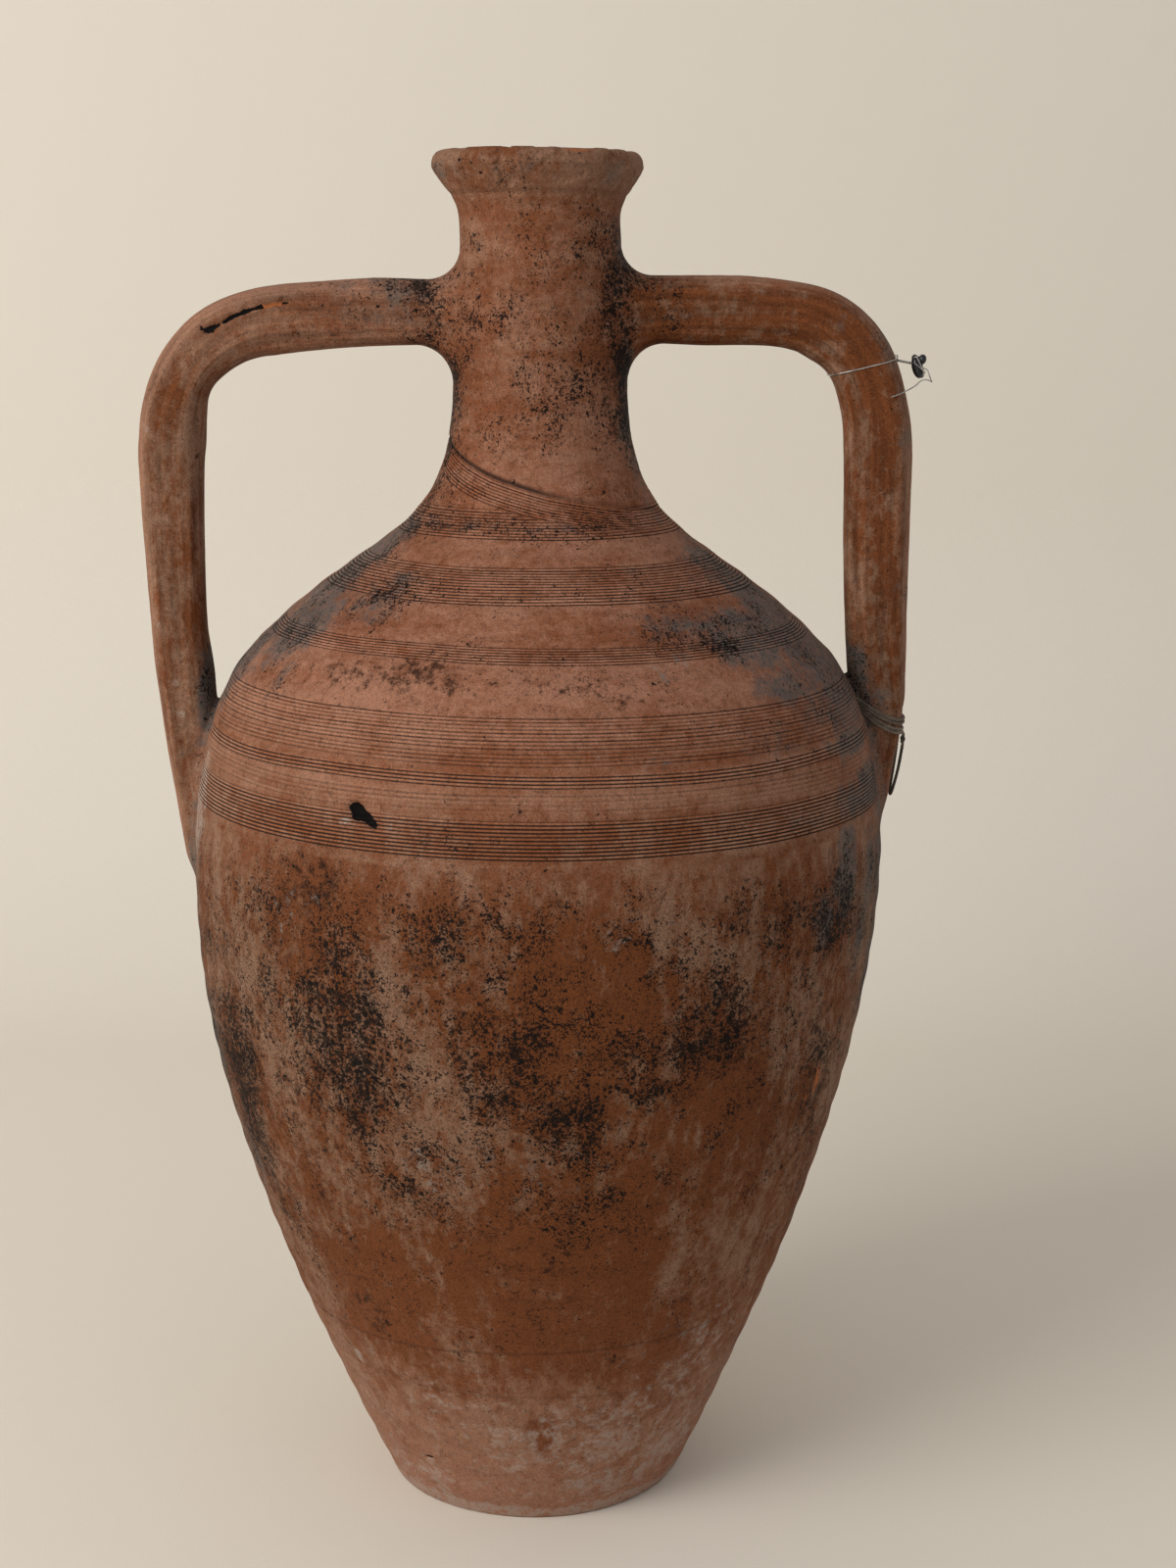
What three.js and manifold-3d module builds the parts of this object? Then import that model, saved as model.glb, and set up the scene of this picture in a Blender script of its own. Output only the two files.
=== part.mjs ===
// An amphora jar: a tall two-handled storage jar of unglazed clay, thrown in sections.
// Millimetres, +Z up. The origin is the centre of the flat underside of the foot.
// +X points to the handle that carries the twine and the wire; -Y is the front.
import * as THREE from 'three';
import * as BufferGeometryUtils from 'three/addons/utils/BufferGeometryUtils.js';
import Module from 'manifold-3d';

const wasm = await Module();
wasm.setup();

// Driving dimensions of the thrown body
const JAR_HEIGHT = 700;
const FOOT_RADIUS = 79.5;
const BELLY_RADIUS = 180;
const BELLY_HEIGHT = 345;
const SHOULDER_RADIUS = 151;
const SHOULDER_HEIGHT = 451;
const NECK_RADIUS = 44.3;
const NECK_DROP = 109;
const THROAT_RADIUS = 40.3;
const THROAT_DROP = 35;
const LIP_RADIUS = 52.8;
const LIP_ROOT_RADIUS = 43.8;
const LIP_DEPTH = 21;
const LIP_EDGE_DROP = 9;
const LIP_TOP_RADIUS = 48.5;
const MOUTH_RADIUS = 36;
const WALL = 8.5;
const FLOOR_THICKNESS = 14;

// Slopes of the outline, as change of radius for each millimetre of height
const FOOT_SLOPE = 0.47;
const SHOULDER_SLOPE = -0.94;
const LIP_ROOT_SLOPE = 0.5;

// How far each curve holds its first and last direction, as a part of its rise
const FOOT_HOLD = 0.53;
const BELLY_HOLD_BELOW = 0.2;
const BELLY_HOLD_ABOVE = 0.72;
const SHOULDER_HOLD = 0.48;
const NECK_HOLD = 0.63;
const LIP_ROOT_HOLD = 0.5;
const EVEN_HOLD = 1 / 3;

// Heights where one thrown section is joined to the next
const SCORED_JOIN_HEIGHT = 116;
const COMB_EDGE_HEIGHT = 380;
const NECK_JOIN_DROP = 184;

const lipBase = JAR_HEIGHT - LIP_DEPTH;
const throatHeight = JAR_HEIGHT - THROAT_DROP;
const neckHeight = JAR_HEIGHT - NECK_DROP;
const neckJoinHeight = JAR_HEIGHT - NECK_JOIN_DROP;

// The thrown sections of the wall, with the facets up the outside and down the inside of each
const WALL_SECTIONS = [
  { name: 'lower_wall', low: FLOOR_THICKNESS, high: SCORED_JOIN_HEIGHT, outsideSteps: 4, insideSteps: 3 },
  { name: 'belly_wall', low: SCORED_JOIN_HEIGHT, high: COMB_EDGE_HEIGHT, outsideSteps: 9, insideSteps: 6 },
  { name: 'shoulder_wall', low: COMB_EDGE_HEIGHT, high: neckJoinHeight, outsideSteps: 8, insideSteps: 6 },
  { name: 'neck_wall', low: neckJoinHeight, high: lipBase, outsideSteps: 10, insideSteps: 7 },
];

// Handles: what both share
const HANDLE_DEPTH = 30;
const ARM_THICKNESS = 33.5;
const SECTION_POWER = 2.4;
const LUTING_SIZE = 12;
const LUTING_EDGE = 1.2;

// Handles: what each has of its own
const LEFT_HANDLE = {
  side: -1,
  armDrop: 81,
  legOutset: 23.4,
  bendAcross: 57,
  bendDrop: 66,
  creaseHeight: 428,
  creaseOutset: 16.4,
  tailThickness: 26,
  taper: 1,
  tailMidDrop: 60,
  tailMidProud: 9.9,
  tailEndDrop: 50,
};
const RIGHT_HANDLE = {
  side: 1,
  armDrop: 77,
  legOutset: 10.2,
  bendAcross: 46,
  bendDrop: 70,
  creaseHeight: 421,
  creaseOutset: 10.2,
  tailThickness: 18.5,
  taper: 5.5,
  tailMidDrop: 33,
  tailMidProud: 9,
  tailEndDrop: 36,
};

// Twine round the foot of the right handle
const TWINE_DIAMETER = 1.8;
const TWINE_TURNS = 4;
const TWINE_SPACING = 3.15;
const TWINE_DROP = 26.5;
const TWINE_DRAPE = 3.2;
const KNOT_RADIUS = 2.5;
const KNOT_TURN = 0.04;

// Steel wire round the bend of the right handle, and its seal
const WIRE_DIAMETER = 0.8;
const WIRE_BEND_ANGLE = 52;
const WIRE_TILT = 14;
const WIRE_GAP_ANGLE = 14;
const SEAL_HEIGHT = 13;
const SEAL_WIDTH = 8;
const SEAL_DEPTH = 6.5;
const SEAL_OFFSET = 11;
const SEAL_DROP = 3.6;
const SEAL_SLOPE = -24;
const SEAL_LEAN = 0.9;
const SEAL_SAG = 0.8;
const SEAL_SWELL = 0.12;
const SEAL_FOLD = 0.14;
const SEAL_FOLD_NARROWNESS = 8;
const SEAL_END_SHARE = 0.35;

// Clearance between pieces that bear on each other over a curved face
const SEAT_GAP = 0.32;
const CHORD_GAP = 0.28;
const BORE_GAP = 0.3;

// Fineness of the facets
const TURNED_SIDES = 48;
const OUTLINE_STEPS = 160;
const HANDLE_SIDES = 16;
const HANDLE_STEPS = 26;
const BEND_STEP_ANGLE = 15;
const LEG_STEPS = 14;
const LIP_STEPS = 4;
const BORE_SIDES = 12;
const LUTING_STEPS = 6;
const FINE_STEPS = 400;
const TURN_STEPS = 24;
const STRAND_SIDES = 6;
const LOOP_SIDES = 8;
const LOOP_STEPS = 18;
const TAIL_STEPS = 48;
const KNOT_SIDES = 12;
const SEAL_SIDES = 14;
const SEAL_LEVELS = 8;

// How close a search comes to the place that it looks for
const SEARCH_END = 0.01;
const SEARCH_STEP = 0.5;
const SLANT_REACH = 1;

// The outline of the outside, from the foot to the root of the lip, as four smooth curves
function outlineCurve(from, to, slopeFrom, slopeTo, holdFrom, holdTo) {
  const rise = to.y - from.y;
  return new THREE.CubicBezierCurve(
    from,
    new THREE.Vector2(from.x + slopeFrom * holdFrom * rise, from.y + holdFrom * rise),
    new THREE.Vector2(to.x - slopeTo * holdTo * rise, to.y - holdTo * rise),
    to,
  );
}

const foot = new THREE.Vector2(FOOT_RADIUS, 0);
const belly = new THREE.Vector2(BELLY_RADIUS, BELLY_HEIGHT);
const shoulder = new THREE.Vector2(SHOULDER_RADIUS, SHOULDER_HEIGHT);
const neck = new THREE.Vector2(NECK_RADIUS, neckHeight);
const throat = new THREE.Vector2(THROAT_RADIUS, throatHeight);
const lipRoot = new THREE.Vector2(LIP_ROOT_RADIUS, lipBase);

const outline = [
  outlineCurve(foot, belly, FOOT_SLOPE, 0, FOOT_HOLD, BELLY_HOLD_BELOW),
  outlineCurve(belly, shoulder, 0, SHOULDER_SLOPE, BELLY_HOLD_ABOVE, 0),
  outlineCurve(shoulder, neck, SHOULDER_SLOPE, 0, SHOULDER_HOLD, NECK_HOLD),
  outlineCurve(neck, throat, 0, 0, EVEN_HOLD, EVEN_HOLD),
  outlineCurve(throat, lipRoot, 0, LIP_ROOT_SLOPE, LIP_ROOT_HOLD, EVEN_HOLD),
].flatMap((curve) => curve.getPoints(OUTLINE_STEPS));

function outerRadius(height) {
  const above = outline.findIndex((point) => point.y > height);
  if (above <= 0) {
    return above === 0 ? outline[0].x : outline.at(-1).x;
  }
  const low = outline[above - 1];
  const high = outline[above];
  return THREE.MathUtils.mapLinear(height, low.y, high.y, low.x, high.x);
}

// Length of the slanted way along the wall for each millimetre of height
function slant(height) {
  const low = Math.max(height - SLANT_REACH, 0);
  const high = Math.min(height + SLANT_REACH, lipBase);
  return Math.hypot(1, (outerRadius(high) - outerRadius(low)) / (high - low));
}

function innerRadius(height) {
  return outerRadius(height) - WALL * slant(height);
}

function heightsBetween(low, high, steps) {
  return Array.from({ length: steps + 1 }, (_, i) => THREE.MathUtils.lerp(low, high, i / steps));
}

// Turned pieces: the outline stands in the X-Z plane and goes round the upright axis
function turned(points) {
  const geometry = new THREE.LatheGeometry(points, TURNED_SIDES);
  geometry.rotateX(Math.PI / 2);
  return geometry;
}

function wallSection({ low, high, outsideSteps, insideSteps }) {
  const outside = heightsBetween(low, high, outsideSteps).map((z) => new THREE.Vector2(outerRadius(z), z));
  const inside = heightsBetween(high, low, insideSteps).map((z) => new THREE.Vector2(innerRadius(z), z));
  return turned([...outside, ...inside, outside[0].clone()]);
}

function baseDisc() {
  return turned([
    new THREE.Vector2(0, 0),
    foot,
    new THREE.Vector2(outerRadius(FLOOR_THICKNESS), FLOOR_THICKNESS),
    new THREE.Vector2(0, FLOOR_THICKNESS),
  ]);
}

// The lip flares from the neck to its widest edge, then rounds over to a narrow flat top
function lipRing() {
  const edge = new THREE.Vector2(LIP_RADIUS, JAR_HEIGHT - LIP_EDGE_DROP);
  const top = new THREE.Vector2(LIP_TOP_RADIUS, JAR_HEIGHT);
  const flare = outlineCurve(lipRoot, edge, LIP_ROOT_SLOPE, 0, LIP_ROOT_HOLD, EVEN_HOLD).getPoints(LIP_STEPS);
  const round = new THREE.CubicBezierCurve(
    edge,
    new THREE.Vector2(edge.x, JAR_HEIGHT - LIP_EDGE_DROP / 3),
    new THREE.Vector2((edge.x + top.x) / 2, JAR_HEIGHT),
    top,
  ).getPoints(LIP_STEPS);
  const mouth = new THREE.Vector2(MOUTH_RADIUS, JAR_HEIGHT);
  const throatInside = new THREE.Vector2(innerRadius(lipBase), lipBase);
  const inside = new THREE.QuadraticBezierCurve(
    mouth,
    new THREE.Vector2(throatInside.x, JAR_HEIGHT - LIP_EDGE_DROP / 3),
    throatInside,
  ).getPoints(LIP_STEPS);
  return turned([...flare, ...round.slice(1), ...inside, lipRoot.clone()]);
}

// Joins and cuts: a closed geometry becomes a solid, and comes back as a geometry
function solidOf(geometry) {
  const bare = geometry.clone();
  bare.deleteAttribute('normal');
  bare.deleteAttribute('uv');
  const merged = BufferGeometryUtils.mergeVertices(bare, 1e-4);
  const index = merged.index.array;
  const kept = [];
  for (let i = 0; i < index.length; i += 3) {
    const [a, b, c] = [index[i], index[i + 1], index[i + 2]];
    if (a !== b && b !== c && c !== a) {
      kept.push(a, b, c);
    }
  }
  const mesh = new wasm.Mesh({
    numProp: 3,
    vertProperties: new Float32Array(merged.attributes.position.array),
    triVerts: new Uint32Array(kept),
  });
  return new wasm.Manifold(mesh);
}

function geometryOf(solid) {
  const mesh = solid.getMesh();
  const geometry = new THREE.BufferGeometry();
  geometry.setAttribute('position', new THREE.BufferAttribute(mesh.vertProperties, mesh.numProp));
  geometry.setIndex(new THREE.BufferAttribute(mesh.triVerts, 1));
  return geometry;
}

// The body filled in and grown by the seat gap, which trims whatever is set on the outside
function bodyBlank() {
  const heights = [0, FLOOR_THICKNESS];
  for (const { low, high, outsideSteps } of WALL_SECTIONS) {
    heights.push(...heightsBetween(low, high, outsideSteps).slice(1));
  }
  const side = heights.map((z) => new THREE.Vector2(outerRadius(z) + SEAT_GAP * slant(z), z));
  return solidOf(turned([new THREE.Vector2(0, 0), ...side, new THREE.Vector2(0, lipBase)]));
}

// Handles
function bendPoint(handle, degrees) {
  const angle = THREE.MathUtils.degToRad(degrees);
  const legX = BELLY_RADIUS + handle.legOutset - ARM_THICKNESS / 2;
  const armZ = JAR_HEIGHT - handle.armDrop;
  return new THREE.Vector3(
    handle.side * (legX - handle.bendAcross * (1 - Math.sin(angle))),
    0,
    armZ - handle.bendDrop * (1 - Math.cos(angle)),
  );
}

// The leg thins from the bend down to where it meets the shoulder
function thicknessAt(handle, height) {
  const legTop = bendPoint(handle, 90).z;
  const down = THREE.MathUtils.clamp((legTop - height) / (legTop - handle.creaseHeight), 0, 1);
  return THREE.MathUtils.lerp(ARM_THICKNESS, handle.tailThickness, down ** handle.taper);
}

// The outer face of the leg, which runs down and fades into the belly
function legFace(handle) {
  const legTop = bendPoint(handle, 90).z;
  const tailMid = handle.creaseHeight - handle.tailMidDrop;
  const tailEnd = tailMid - handle.tailEndDrop;
  const face = (x, z) => new THREE.Vector3(handle.side * x, 0, z);
  return new THREE.CatmullRomCurve3([
    face(BELLY_RADIUS + handle.legOutset, legTop),
    face(BELLY_RADIUS + handle.creaseOutset, handle.creaseHeight),
    face(outerRadius(tailMid) + handle.tailMidProud, tailMid),
    face(outerRadius(tailEnd) + LUTING_EDGE, tailEnd),
  ], false, 'centripetal');
}

function centreLine(handle) {
  const armZ = JAR_HEIGHT - handle.armDrop;
  const points = [new THREE.Vector3(handle.side * (NECK_RADIUS / 2), 0, armZ)];
  points.push(new THREE.Vector3(handle.side * (NECK_RADIUS + LUTING_SIZE), 0, armZ));
  for (let degrees = 0; degrees <= 90; degrees += BEND_STEP_ANGLE) {
    points.push(bendPoint(handle, degrees));
  }
  for (const face of legFace(handle).getSpacedPoints(LEG_STEPS).slice(1)) {
    const half = thicknessAt(handle, face.z) / 2;
    points.push(new THREE.Vector3(face.x - handle.side * half, 0, face.z));
  }
  return new THREE.CatmullRomCurve3(points, false, 'centripetal');
}

// Places along a handle, each with its centre, its directions and its half sizes
function handleStations(handle, count) {
  const curve = centreLine(handle);
  const stations = [];
  for (let i = 0; i <= count; i += 1) {
    const centre = curve.getPointAt(i / count);
    const tangent = curve.getTangentAt(i / count);
    stations.push({
      centre,
      tangent,
      across: new THREE.Vector3(-tangent.z, 0, tangent.x),
      halfThickness: thicknessAt(handle, centre.z) / 2,
      halfDepth: HANDLE_DEPTH / 2,
    });
  }
  return stations;
}

function roundedSection(station, grow) {
  const ring = [];
  for (let i = 0; i < HANDLE_SIDES; i += 1) {
    const angle = (2 * Math.PI * i) / HANDLE_SIDES;
    const squared = (value) => Math.sign(value) * Math.abs(value) ** (2 / SECTION_POWER);
    const across = squared(Math.cos(angle)) * (station.halfThickness + grow);
    const depth = squared(Math.sin(angle)) * (station.halfDepth + grow);
    const place = station.centre.clone().addScaledVector(station.across, across);
    ring.push(place.add(new THREE.Vector3(0, depth, 0)));
  }
  return ring;
}

// A closed skin over rings of points that all have the same count
function loft(rings) {
  const sides = rings[0].length;
  const centreOf = (ring) => ring.reduce((sum, p) => sum.add(p), new THREE.Vector3()).divideScalar(sides);
  const points = [...rings.flat(), centreOf(rings[0]), centreOf(rings.at(-1))];
  const index = [];
  for (let r = 0; r < rings.length - 1; r += 1) {
    for (let i = 0; i < sides; i += 1) {
      const a = r * sides + i;
      const b = r * sides + ((i + 1) % sides);
      index.push(a, b, b + sides, a, b + sides, a + sides);
    }
  }
  const first = rings.length * sides;
  const lastRing = first - sides;
  for (let i = 0; i < sides; i += 1) {
    const next = (i + 1) % sides;
    index.push(first, next, i, first + 1, lastRing + i, lastRing + next);
  }
  const geometry = new THREE.BufferGeometry().setFromPoints(points);
  geometry.setIndex(index);
  return facingOut(geometry);
}

// Turns the faces over if the skin encloses a negative volume
function facingOut(geometry) {
  const position = geometry.attributes.position;
  const index = geometry.index.array;
  const corner = (k) => new THREE.Vector3().fromBufferAttribute(position, index[k]);
  let volume = 0;
  for (let i = 0; i < index.length; i += 3) {
    volume += corner(i).dot(corner(i + 1).cross(corner(i + 2)));
  }
  if (volume < 0) {
    for (let i = 0; i < index.length; i += 3) {
      [index[i], index[i + 1]] = [index[i + 1], index[i]];
    }
  }
  return geometry;
}

function handleSolid(handle, blank, grow) {
  const rings = handleStations(handle, HANDLE_STEPS).map((station) => roundedSection(station, grow));
  return solidOf(loft(rings)).subtract(blank);
}

// Clay smoothed round the root of a handle: widest on the neck, thinning out along the arm
function neckLuting(handle, blank) {
  const armZ = JAR_HEIGHT - handle.armDrop;
  const rings = [];
  for (let i = 0; i <= LUTING_STEPS; i += 1) {
    const along = i / LUTING_STEPS;
    const flare = LUTING_EDGE + (LUTING_SIZE - LUTING_EDGE) * (1 - Math.sqrt(1 - (1 - along) ** 2));
    const start = NECK_RADIUS - LUTING_SIZE;
    const x = i === 0 ? start : NECK_RADIUS + LUTING_SIZE * along;
    rings.push(roundedSection({
      centre: new THREE.Vector3(handle.side * x, 0, armZ),
      across: new THREE.Vector3(0, 0, 1),
      halfThickness: ARM_THICKNESS / 2,
      halfDepth: HANDLE_DEPTH / 2,
    }, flare));
  }
  const stations = handleStations(handle, HANDLE_STEPS);
  const handleGrown = loft(stations.map((station) => roundedSection(station, SEAT_GAP)));
  return geometryOf(solidOf(loft(rings)).subtract(blank).subtract(solidOf(handleGrown)));
}

// True inside a handle that is grown by a margin
function insideHandle(stations, point, margin) {
  let nearest = stations[0];
  let least = Infinity;
  for (const station of stations) {
    const distance = station.centre.distanceToSquared(point);
    if (distance < least) {
      least = distance;
      nearest = station;
    }
  }
  const offset = point.clone().sub(nearest.centre);
  const across = Math.abs(offset.dot(nearest.across)) / (nearest.halfThickness + margin);
  const depth = Math.abs(offset.y) / (nearest.halfDepth + margin);
  return across ** SECTION_POWER + depth ** SECTION_POWER < 1;
}

// The first point outside the grown handle, going from a place inside it in one direction
function surfacePoint(stations, origin, direction, margin) {
  let near = 0;
  let far = ARM_THICKNESS * 1.5;
  while (far - near > SEARCH_END) {
    const middle = (near + far) / 2;
    const inside = insideHandle(stations, origin.clone().addScaledVector(direction, middle), margin);
    near = inside ? middle : near;
    far = inside ? far : middle;
  }
  return origin.clone().addScaledVector(direction, far);
}

function tube(points, diameter, sides, steps) {
  const section = new THREE.Shape(Array.from({ length: sides }, (_, i) => {
    const angle = (2 * Math.PI * i) / sides;
    return new THREE.Vector2(Math.cos(angle), Math.sin(angle)).multiplyScalar(diameter / 2);
  }));
  const extrudePath = new THREE.CatmullRomCurve3(points, false, 'centripetal');
  return new THREE.ExtrudeGeometry(section, { steps, extrudePath, bevelEnabled: false });
}

// Least clear distance between two stretches of one tube that are not neighbours along it
function leastGapToItself(points, diameter, neighbourLength) {
  const curve = new THREE.CatmullRomCurve3(points, false, 'centripetal');
  const samples = curve.getSpacedPoints(points.length * 4);
  const step = curve.getLength() / (samples.length - 1);
  const apart = Math.ceil(neighbourLength / step);
  let least = Infinity;
  for (let i = 0; i < samples.length; i += 1) {
    for (let j = i + apart; j < samples.length; j += 1) {
      least = Math.min(least, samples[i].distanceTo(samples[j]));
    }
  }
  return least - diameter;
}

// Height on the shoulder where a round strand at this distance from the axis just clears the wall
function clearHeight(radius, margin) {
  let low = BELLY_HEIGHT;
  let high = neckHeight;
  while (high - low > SEARCH_END) {
    const middle = (low + high) / 2;
    const clears = outerRadius(middle) + margin * slant(middle) < radius;
    high = clears ? middle : high;
    low = clears ? low : middle;
  }
  return high;
}

const rightStations = handleStations(RIGHT_HANDLE, FINE_STEPS);
const strandMargin = TWINE_DIAMETER / 2 + SEAT_GAP + CHORD_GAP;

// Just clear of the right handle at one height, in the direction of an angle round it
function besideRightHandle(height, angle, margin) {
  const station = rightStations.reduce((best, s) => (
    Math.abs(s.centre.z - height) < Math.abs(best.centre.z - height) ? s : best));
  const origin = new THREE.Vector3(station.centre.x, 0, height);
  const direction = new THREE.Vector3(Math.cos(angle), -Math.sin(angle), 0);
  return surfacePoint(rightStations, origin, direction, margin);
}

// How far down a strand can slide between the handle and the shoulder before it touches both
function crookHeight() {
  const touches = (height) => (
    outerRadius(height) + strandMargin * slant(height) > besideRightHandle(height, Math.PI, strandMargin).x);
  let height = neckJoinHeight;
  while (!touches(height)) {
    height -= SEARCH_STEP;
  }
  return height + SEARCH_STEP;
}

const lashingLow = crookHeight() - TWINE_DROP;

// The lowest turn hangs low across the front and outside, and climbs into the crook on the inside
function lowestTurnPoint(angle) {
  const climb = TWINE_DROP * ((1 - Math.cos(angle)) / 2) ** TWINE_DRAPE;
  const point = besideRightHandle(lashingLow + climb, angle, strandMargin);
  point.z = Math.max(point.z, clearHeight(Math.hypot(point.x, point.y), strandMargin));
  return point;
}

// Where the lowest turn climbs, the next ones are set higher, to stay the same distance from it
function lashingPoint(turn) {
  const angle = 2 * Math.PI * turn;
  const nearby = Math.PI / TURN_STEPS;
  const before = lowestTurnPoint(angle - nearby);
  const after = lowestTurnPoint(angle + nearby);
  const steepness = (after.z - before.z) / Math.hypot(after.x - before.x, after.y - before.y);
  const height = lowestTurnPoint(angle).z + TWINE_SPACING * turn * Math.hypot(1, steepness);
  return besideRightHandle(height, angle, strandMargin);
}

const knotAngle = 2 * Math.PI * KNOT_TURN;
const knotHeight = lashingLow - TWINE_DIAMETER - KNOT_RADIUS;
const knotCentre = besideRightHandle(knotHeight, knotAngle, KNOT_RADIUS + SEAT_GAP);

function lashingPath() {
  const start = knotCentre.clone().add(new THREE.Vector3(0, 0, KNOT_RADIUS + BORE_GAP));
  const points = [start, start.clone().add(new THREE.Vector3(-0.2, 0, TWINE_DIAMETER / 2))];
  const firstTurn = KNOT_TURN + 2 / TURN_STEPS;
  const lastTurn = TWINE_TURNS - 2 / TURN_STEPS;
  for (let turn = firstTurn; turn <= lastTurn; turn += 1 / TURN_STEPS) {
    points.push(lashingPoint(turn));
  }
  return points;
}

const lashing = lashingPath();
const lashingGap = leastGapToItself(lashing, TWINE_DIAMETER, TWINE_DIAMETER * 4);
console.log('twine lashing, least gap to itself: ' + lashingGap.toFixed(2) + ' mm');

// The loose bight: points chosen by hand, from the knot down, round and back up to the lashing
const LOOP_ROUTE = [
  [190.7, -3.6, 400.9],
  [190.4, -3.7, 399],
  [189.8, -4, 395],
  [188.9, -4.2, 389.5],
  [187.8, -4, 384],
  [186.7, -3.3, 379],
  [186, -1.7, 375.4],
  [185.8, 0.8, 373.9],
  [186, 3.4, 375.4],
  [186.6, 5.1, 379],
  [187.4, 6, 384],
  [188.2, 6.6, 389.5],
  [188.9, 7, 395],
  [189.4, 7.2, 400],
  [189.8, 7.3, 404.5],
  [190, 7.4, 409.2],
].map((place) => new THREE.Vector3(...place));

// One turn of wire in a plane tilted across the bend of the handle
const wireCentre = bendPoint(RIGHT_HANDLE, WIRE_BEND_ANGLE);
const wireOut = new THREE.Vector3(1, 0, 0).applyAxisAngle(
  new THREE.Vector3(0, -1, 0), THREE.MathUtils.degToRad(WIRE_TILT));

function wirePoint(degrees) {
  const angle = THREE.MathUtils.degToRad(degrees);
  const direction = wireOut.clone().multiplyScalar(Math.cos(angle));
  direction.y -= Math.sin(angle);
  return surfacePoint(rightStations, wireCentre, direction, WIRE_DIAMETER / 2 + SEAT_GAP + CHORD_GAP);
}

// The turn starts a little way round from the outside and ends on the outside
const wireTurn = 360 - WIRE_GAP_ANGLE;
const wireRingPath = Array.from({ length: TURN_STEPS + 1 }, (_, i) => (
  wirePoint(WIRE_GAP_ANGLE + (wireTurn * i) / TURN_STEPS)));

// The wire leaves the handle, runs straight through the seal, doubles back and ends on the handle
const wireLeaves = wireRingPath.at(-1).clone();
const sealCentre = wireLeaves.clone().add(new THREE.Vector3(SEAL_OFFSET, 0, -SEAL_DROP));
const sealAxis = new THREE.Vector3(1, 0, 0).applyAxisAngle(
  new THREE.Vector3(0, -1, 0), THREE.MathUtils.degToRad(SEAL_SLOPE));

// Points of the springy wire chosen by hand: first from where it leaves the handle, as X, Y and Z
const WIRE_START_ROUTE = [
  [1.2, -1.9, 0.1],
  [2.9, -1.5, -0.8],
];

// Then from the middle of the seal: along the bore, and off to the front and upwards
const WIRE_SEAL_ROUTE = [
  [-5.6, 0, 0],
  [-4.4, 0, 0],
  [0, 0, 0],
  [4.4, 0, 0],
  [5.4, -0.1, -0.3],
  [7.4, -0.6, -2.8],
  [8.3, -1.2, -4.6],
  [8, -2.3, -5.2],
  [5.6, -3.8, -4],
  [2.5, -5, -4.9],
  [-1.8, -8.4, -10.3],
  [-6.6, -12.5, -15],
  [-12, -15.2, -18.9],
  [-17.5, -15.5, -22.5],
];

function wireTailPath() {
  const onward = new THREE.Vector3(0, -1, 0);
  return [
    wireLeaves.clone().addScaledVector(onward, BORE_GAP),
    wireLeaves.clone().addScaledVector(onward, BORE_GAP + WIRE_DIAMETER),
    ...WIRE_START_ROUTE.map((place) => wireLeaves.clone().add(new THREE.Vector3(...place))),
    ...WIRE_SEAL_ROUTE.map(([along, y, z]) => (
      sealCentre.clone().addScaledVector(sealAxis, along).add(new THREE.Vector3(0, y, z)))),
  ];
}

// The seal: a folded lump, broad at its top and leaning, with the bore for the wire
function sealSolid() {
  const rings = [];
  for (let i = 0; i <= SEAL_LEVELS; i += 1) {
    const up = -Math.cos((Math.PI * (i + SEAL_END_SHARE)) / (SEAL_LEVELS + 2 * SEAL_END_SHARE));
    const round = Math.sqrt(Math.max(1 - up * up, 0));
    const broad = 1 + SEAL_SWELL * up;
    const ring = [];
    for (let k = 0; k < SEAL_SIDES; k += 1) {
      const angle = (2 * Math.PI * k) / SEAL_SIDES;
      const fold = 1 - SEAL_FOLD * Math.cos(2 * angle) ** SEAL_FOLD_NARROWNESS * Math.max(up, 0);
      ring.push(sealCentre.clone().add(new THREE.Vector3(
        Math.cos(angle) * (SEAL_WIDTH / 2) * round * broad * fold - SEAL_LEAN * up,
        Math.sin(angle) * (SEAL_DEPTH / 2) * round * fold,
        up * (SEAL_HEIGHT / 2) - SEAL_SAG,
      )));
    }
    rings.push(ring);
  }
  const boreRadius = WIRE_DIAMETER / 2 + BORE_GAP;
  const bore = new THREE.CylinderGeometry(boreRadius, boreRadius, SEAL_HEIGHT * 2, BORE_SIDES);
  const turn = new THREE.Quaternion().setFromUnitVectors(new THREE.Vector3(0, 1, 0), sealAxis);
  bore.applyQuaternion(turn);
  bore.translate(sealCentre.x, sealCentre.y, sealCentre.z);
  return geometryOf(solidOf(loft(rings)).subtract(solidOf(bore)));
}

function knotGeometry() {
  const geometry = new THREE.SphereGeometry(KNOT_RADIUS, KNOT_SIDES, KNOT_SIDES / 2);
  geometry.rotateX(Math.PI / 2);
  geometry.translate(knotCentre.x, knotCentre.y, knotCentre.z);
  return geometry;
}

const clay = { color: 0x8a5540, roughness: 0.85, metalness: 0 };
const sootyClay = { color: 0x6f4636, roughness: 0.88, metalness: 0 };
const paleClay = { color: 0x96604a, roughness: 0.86, metalness: 0 };
const twine = { color: 0x6f6253, roughness: 0.95, metalness: 0 };
const steel = { color: 0x9b968c, roughness: 0.35, metalness: 1 };
const blackPlastic = { color: 0x0c0d10, roughness: 0.3, metalness: 0 };

const jar = new THREE.Group();

function addPiece(name, geometry, finish) {
  const mesh = new THREE.Mesh(geometry, new THREE.MeshStandardMaterial(finish));
  mesh.name = name;
  jar.add(mesh);
}

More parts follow.
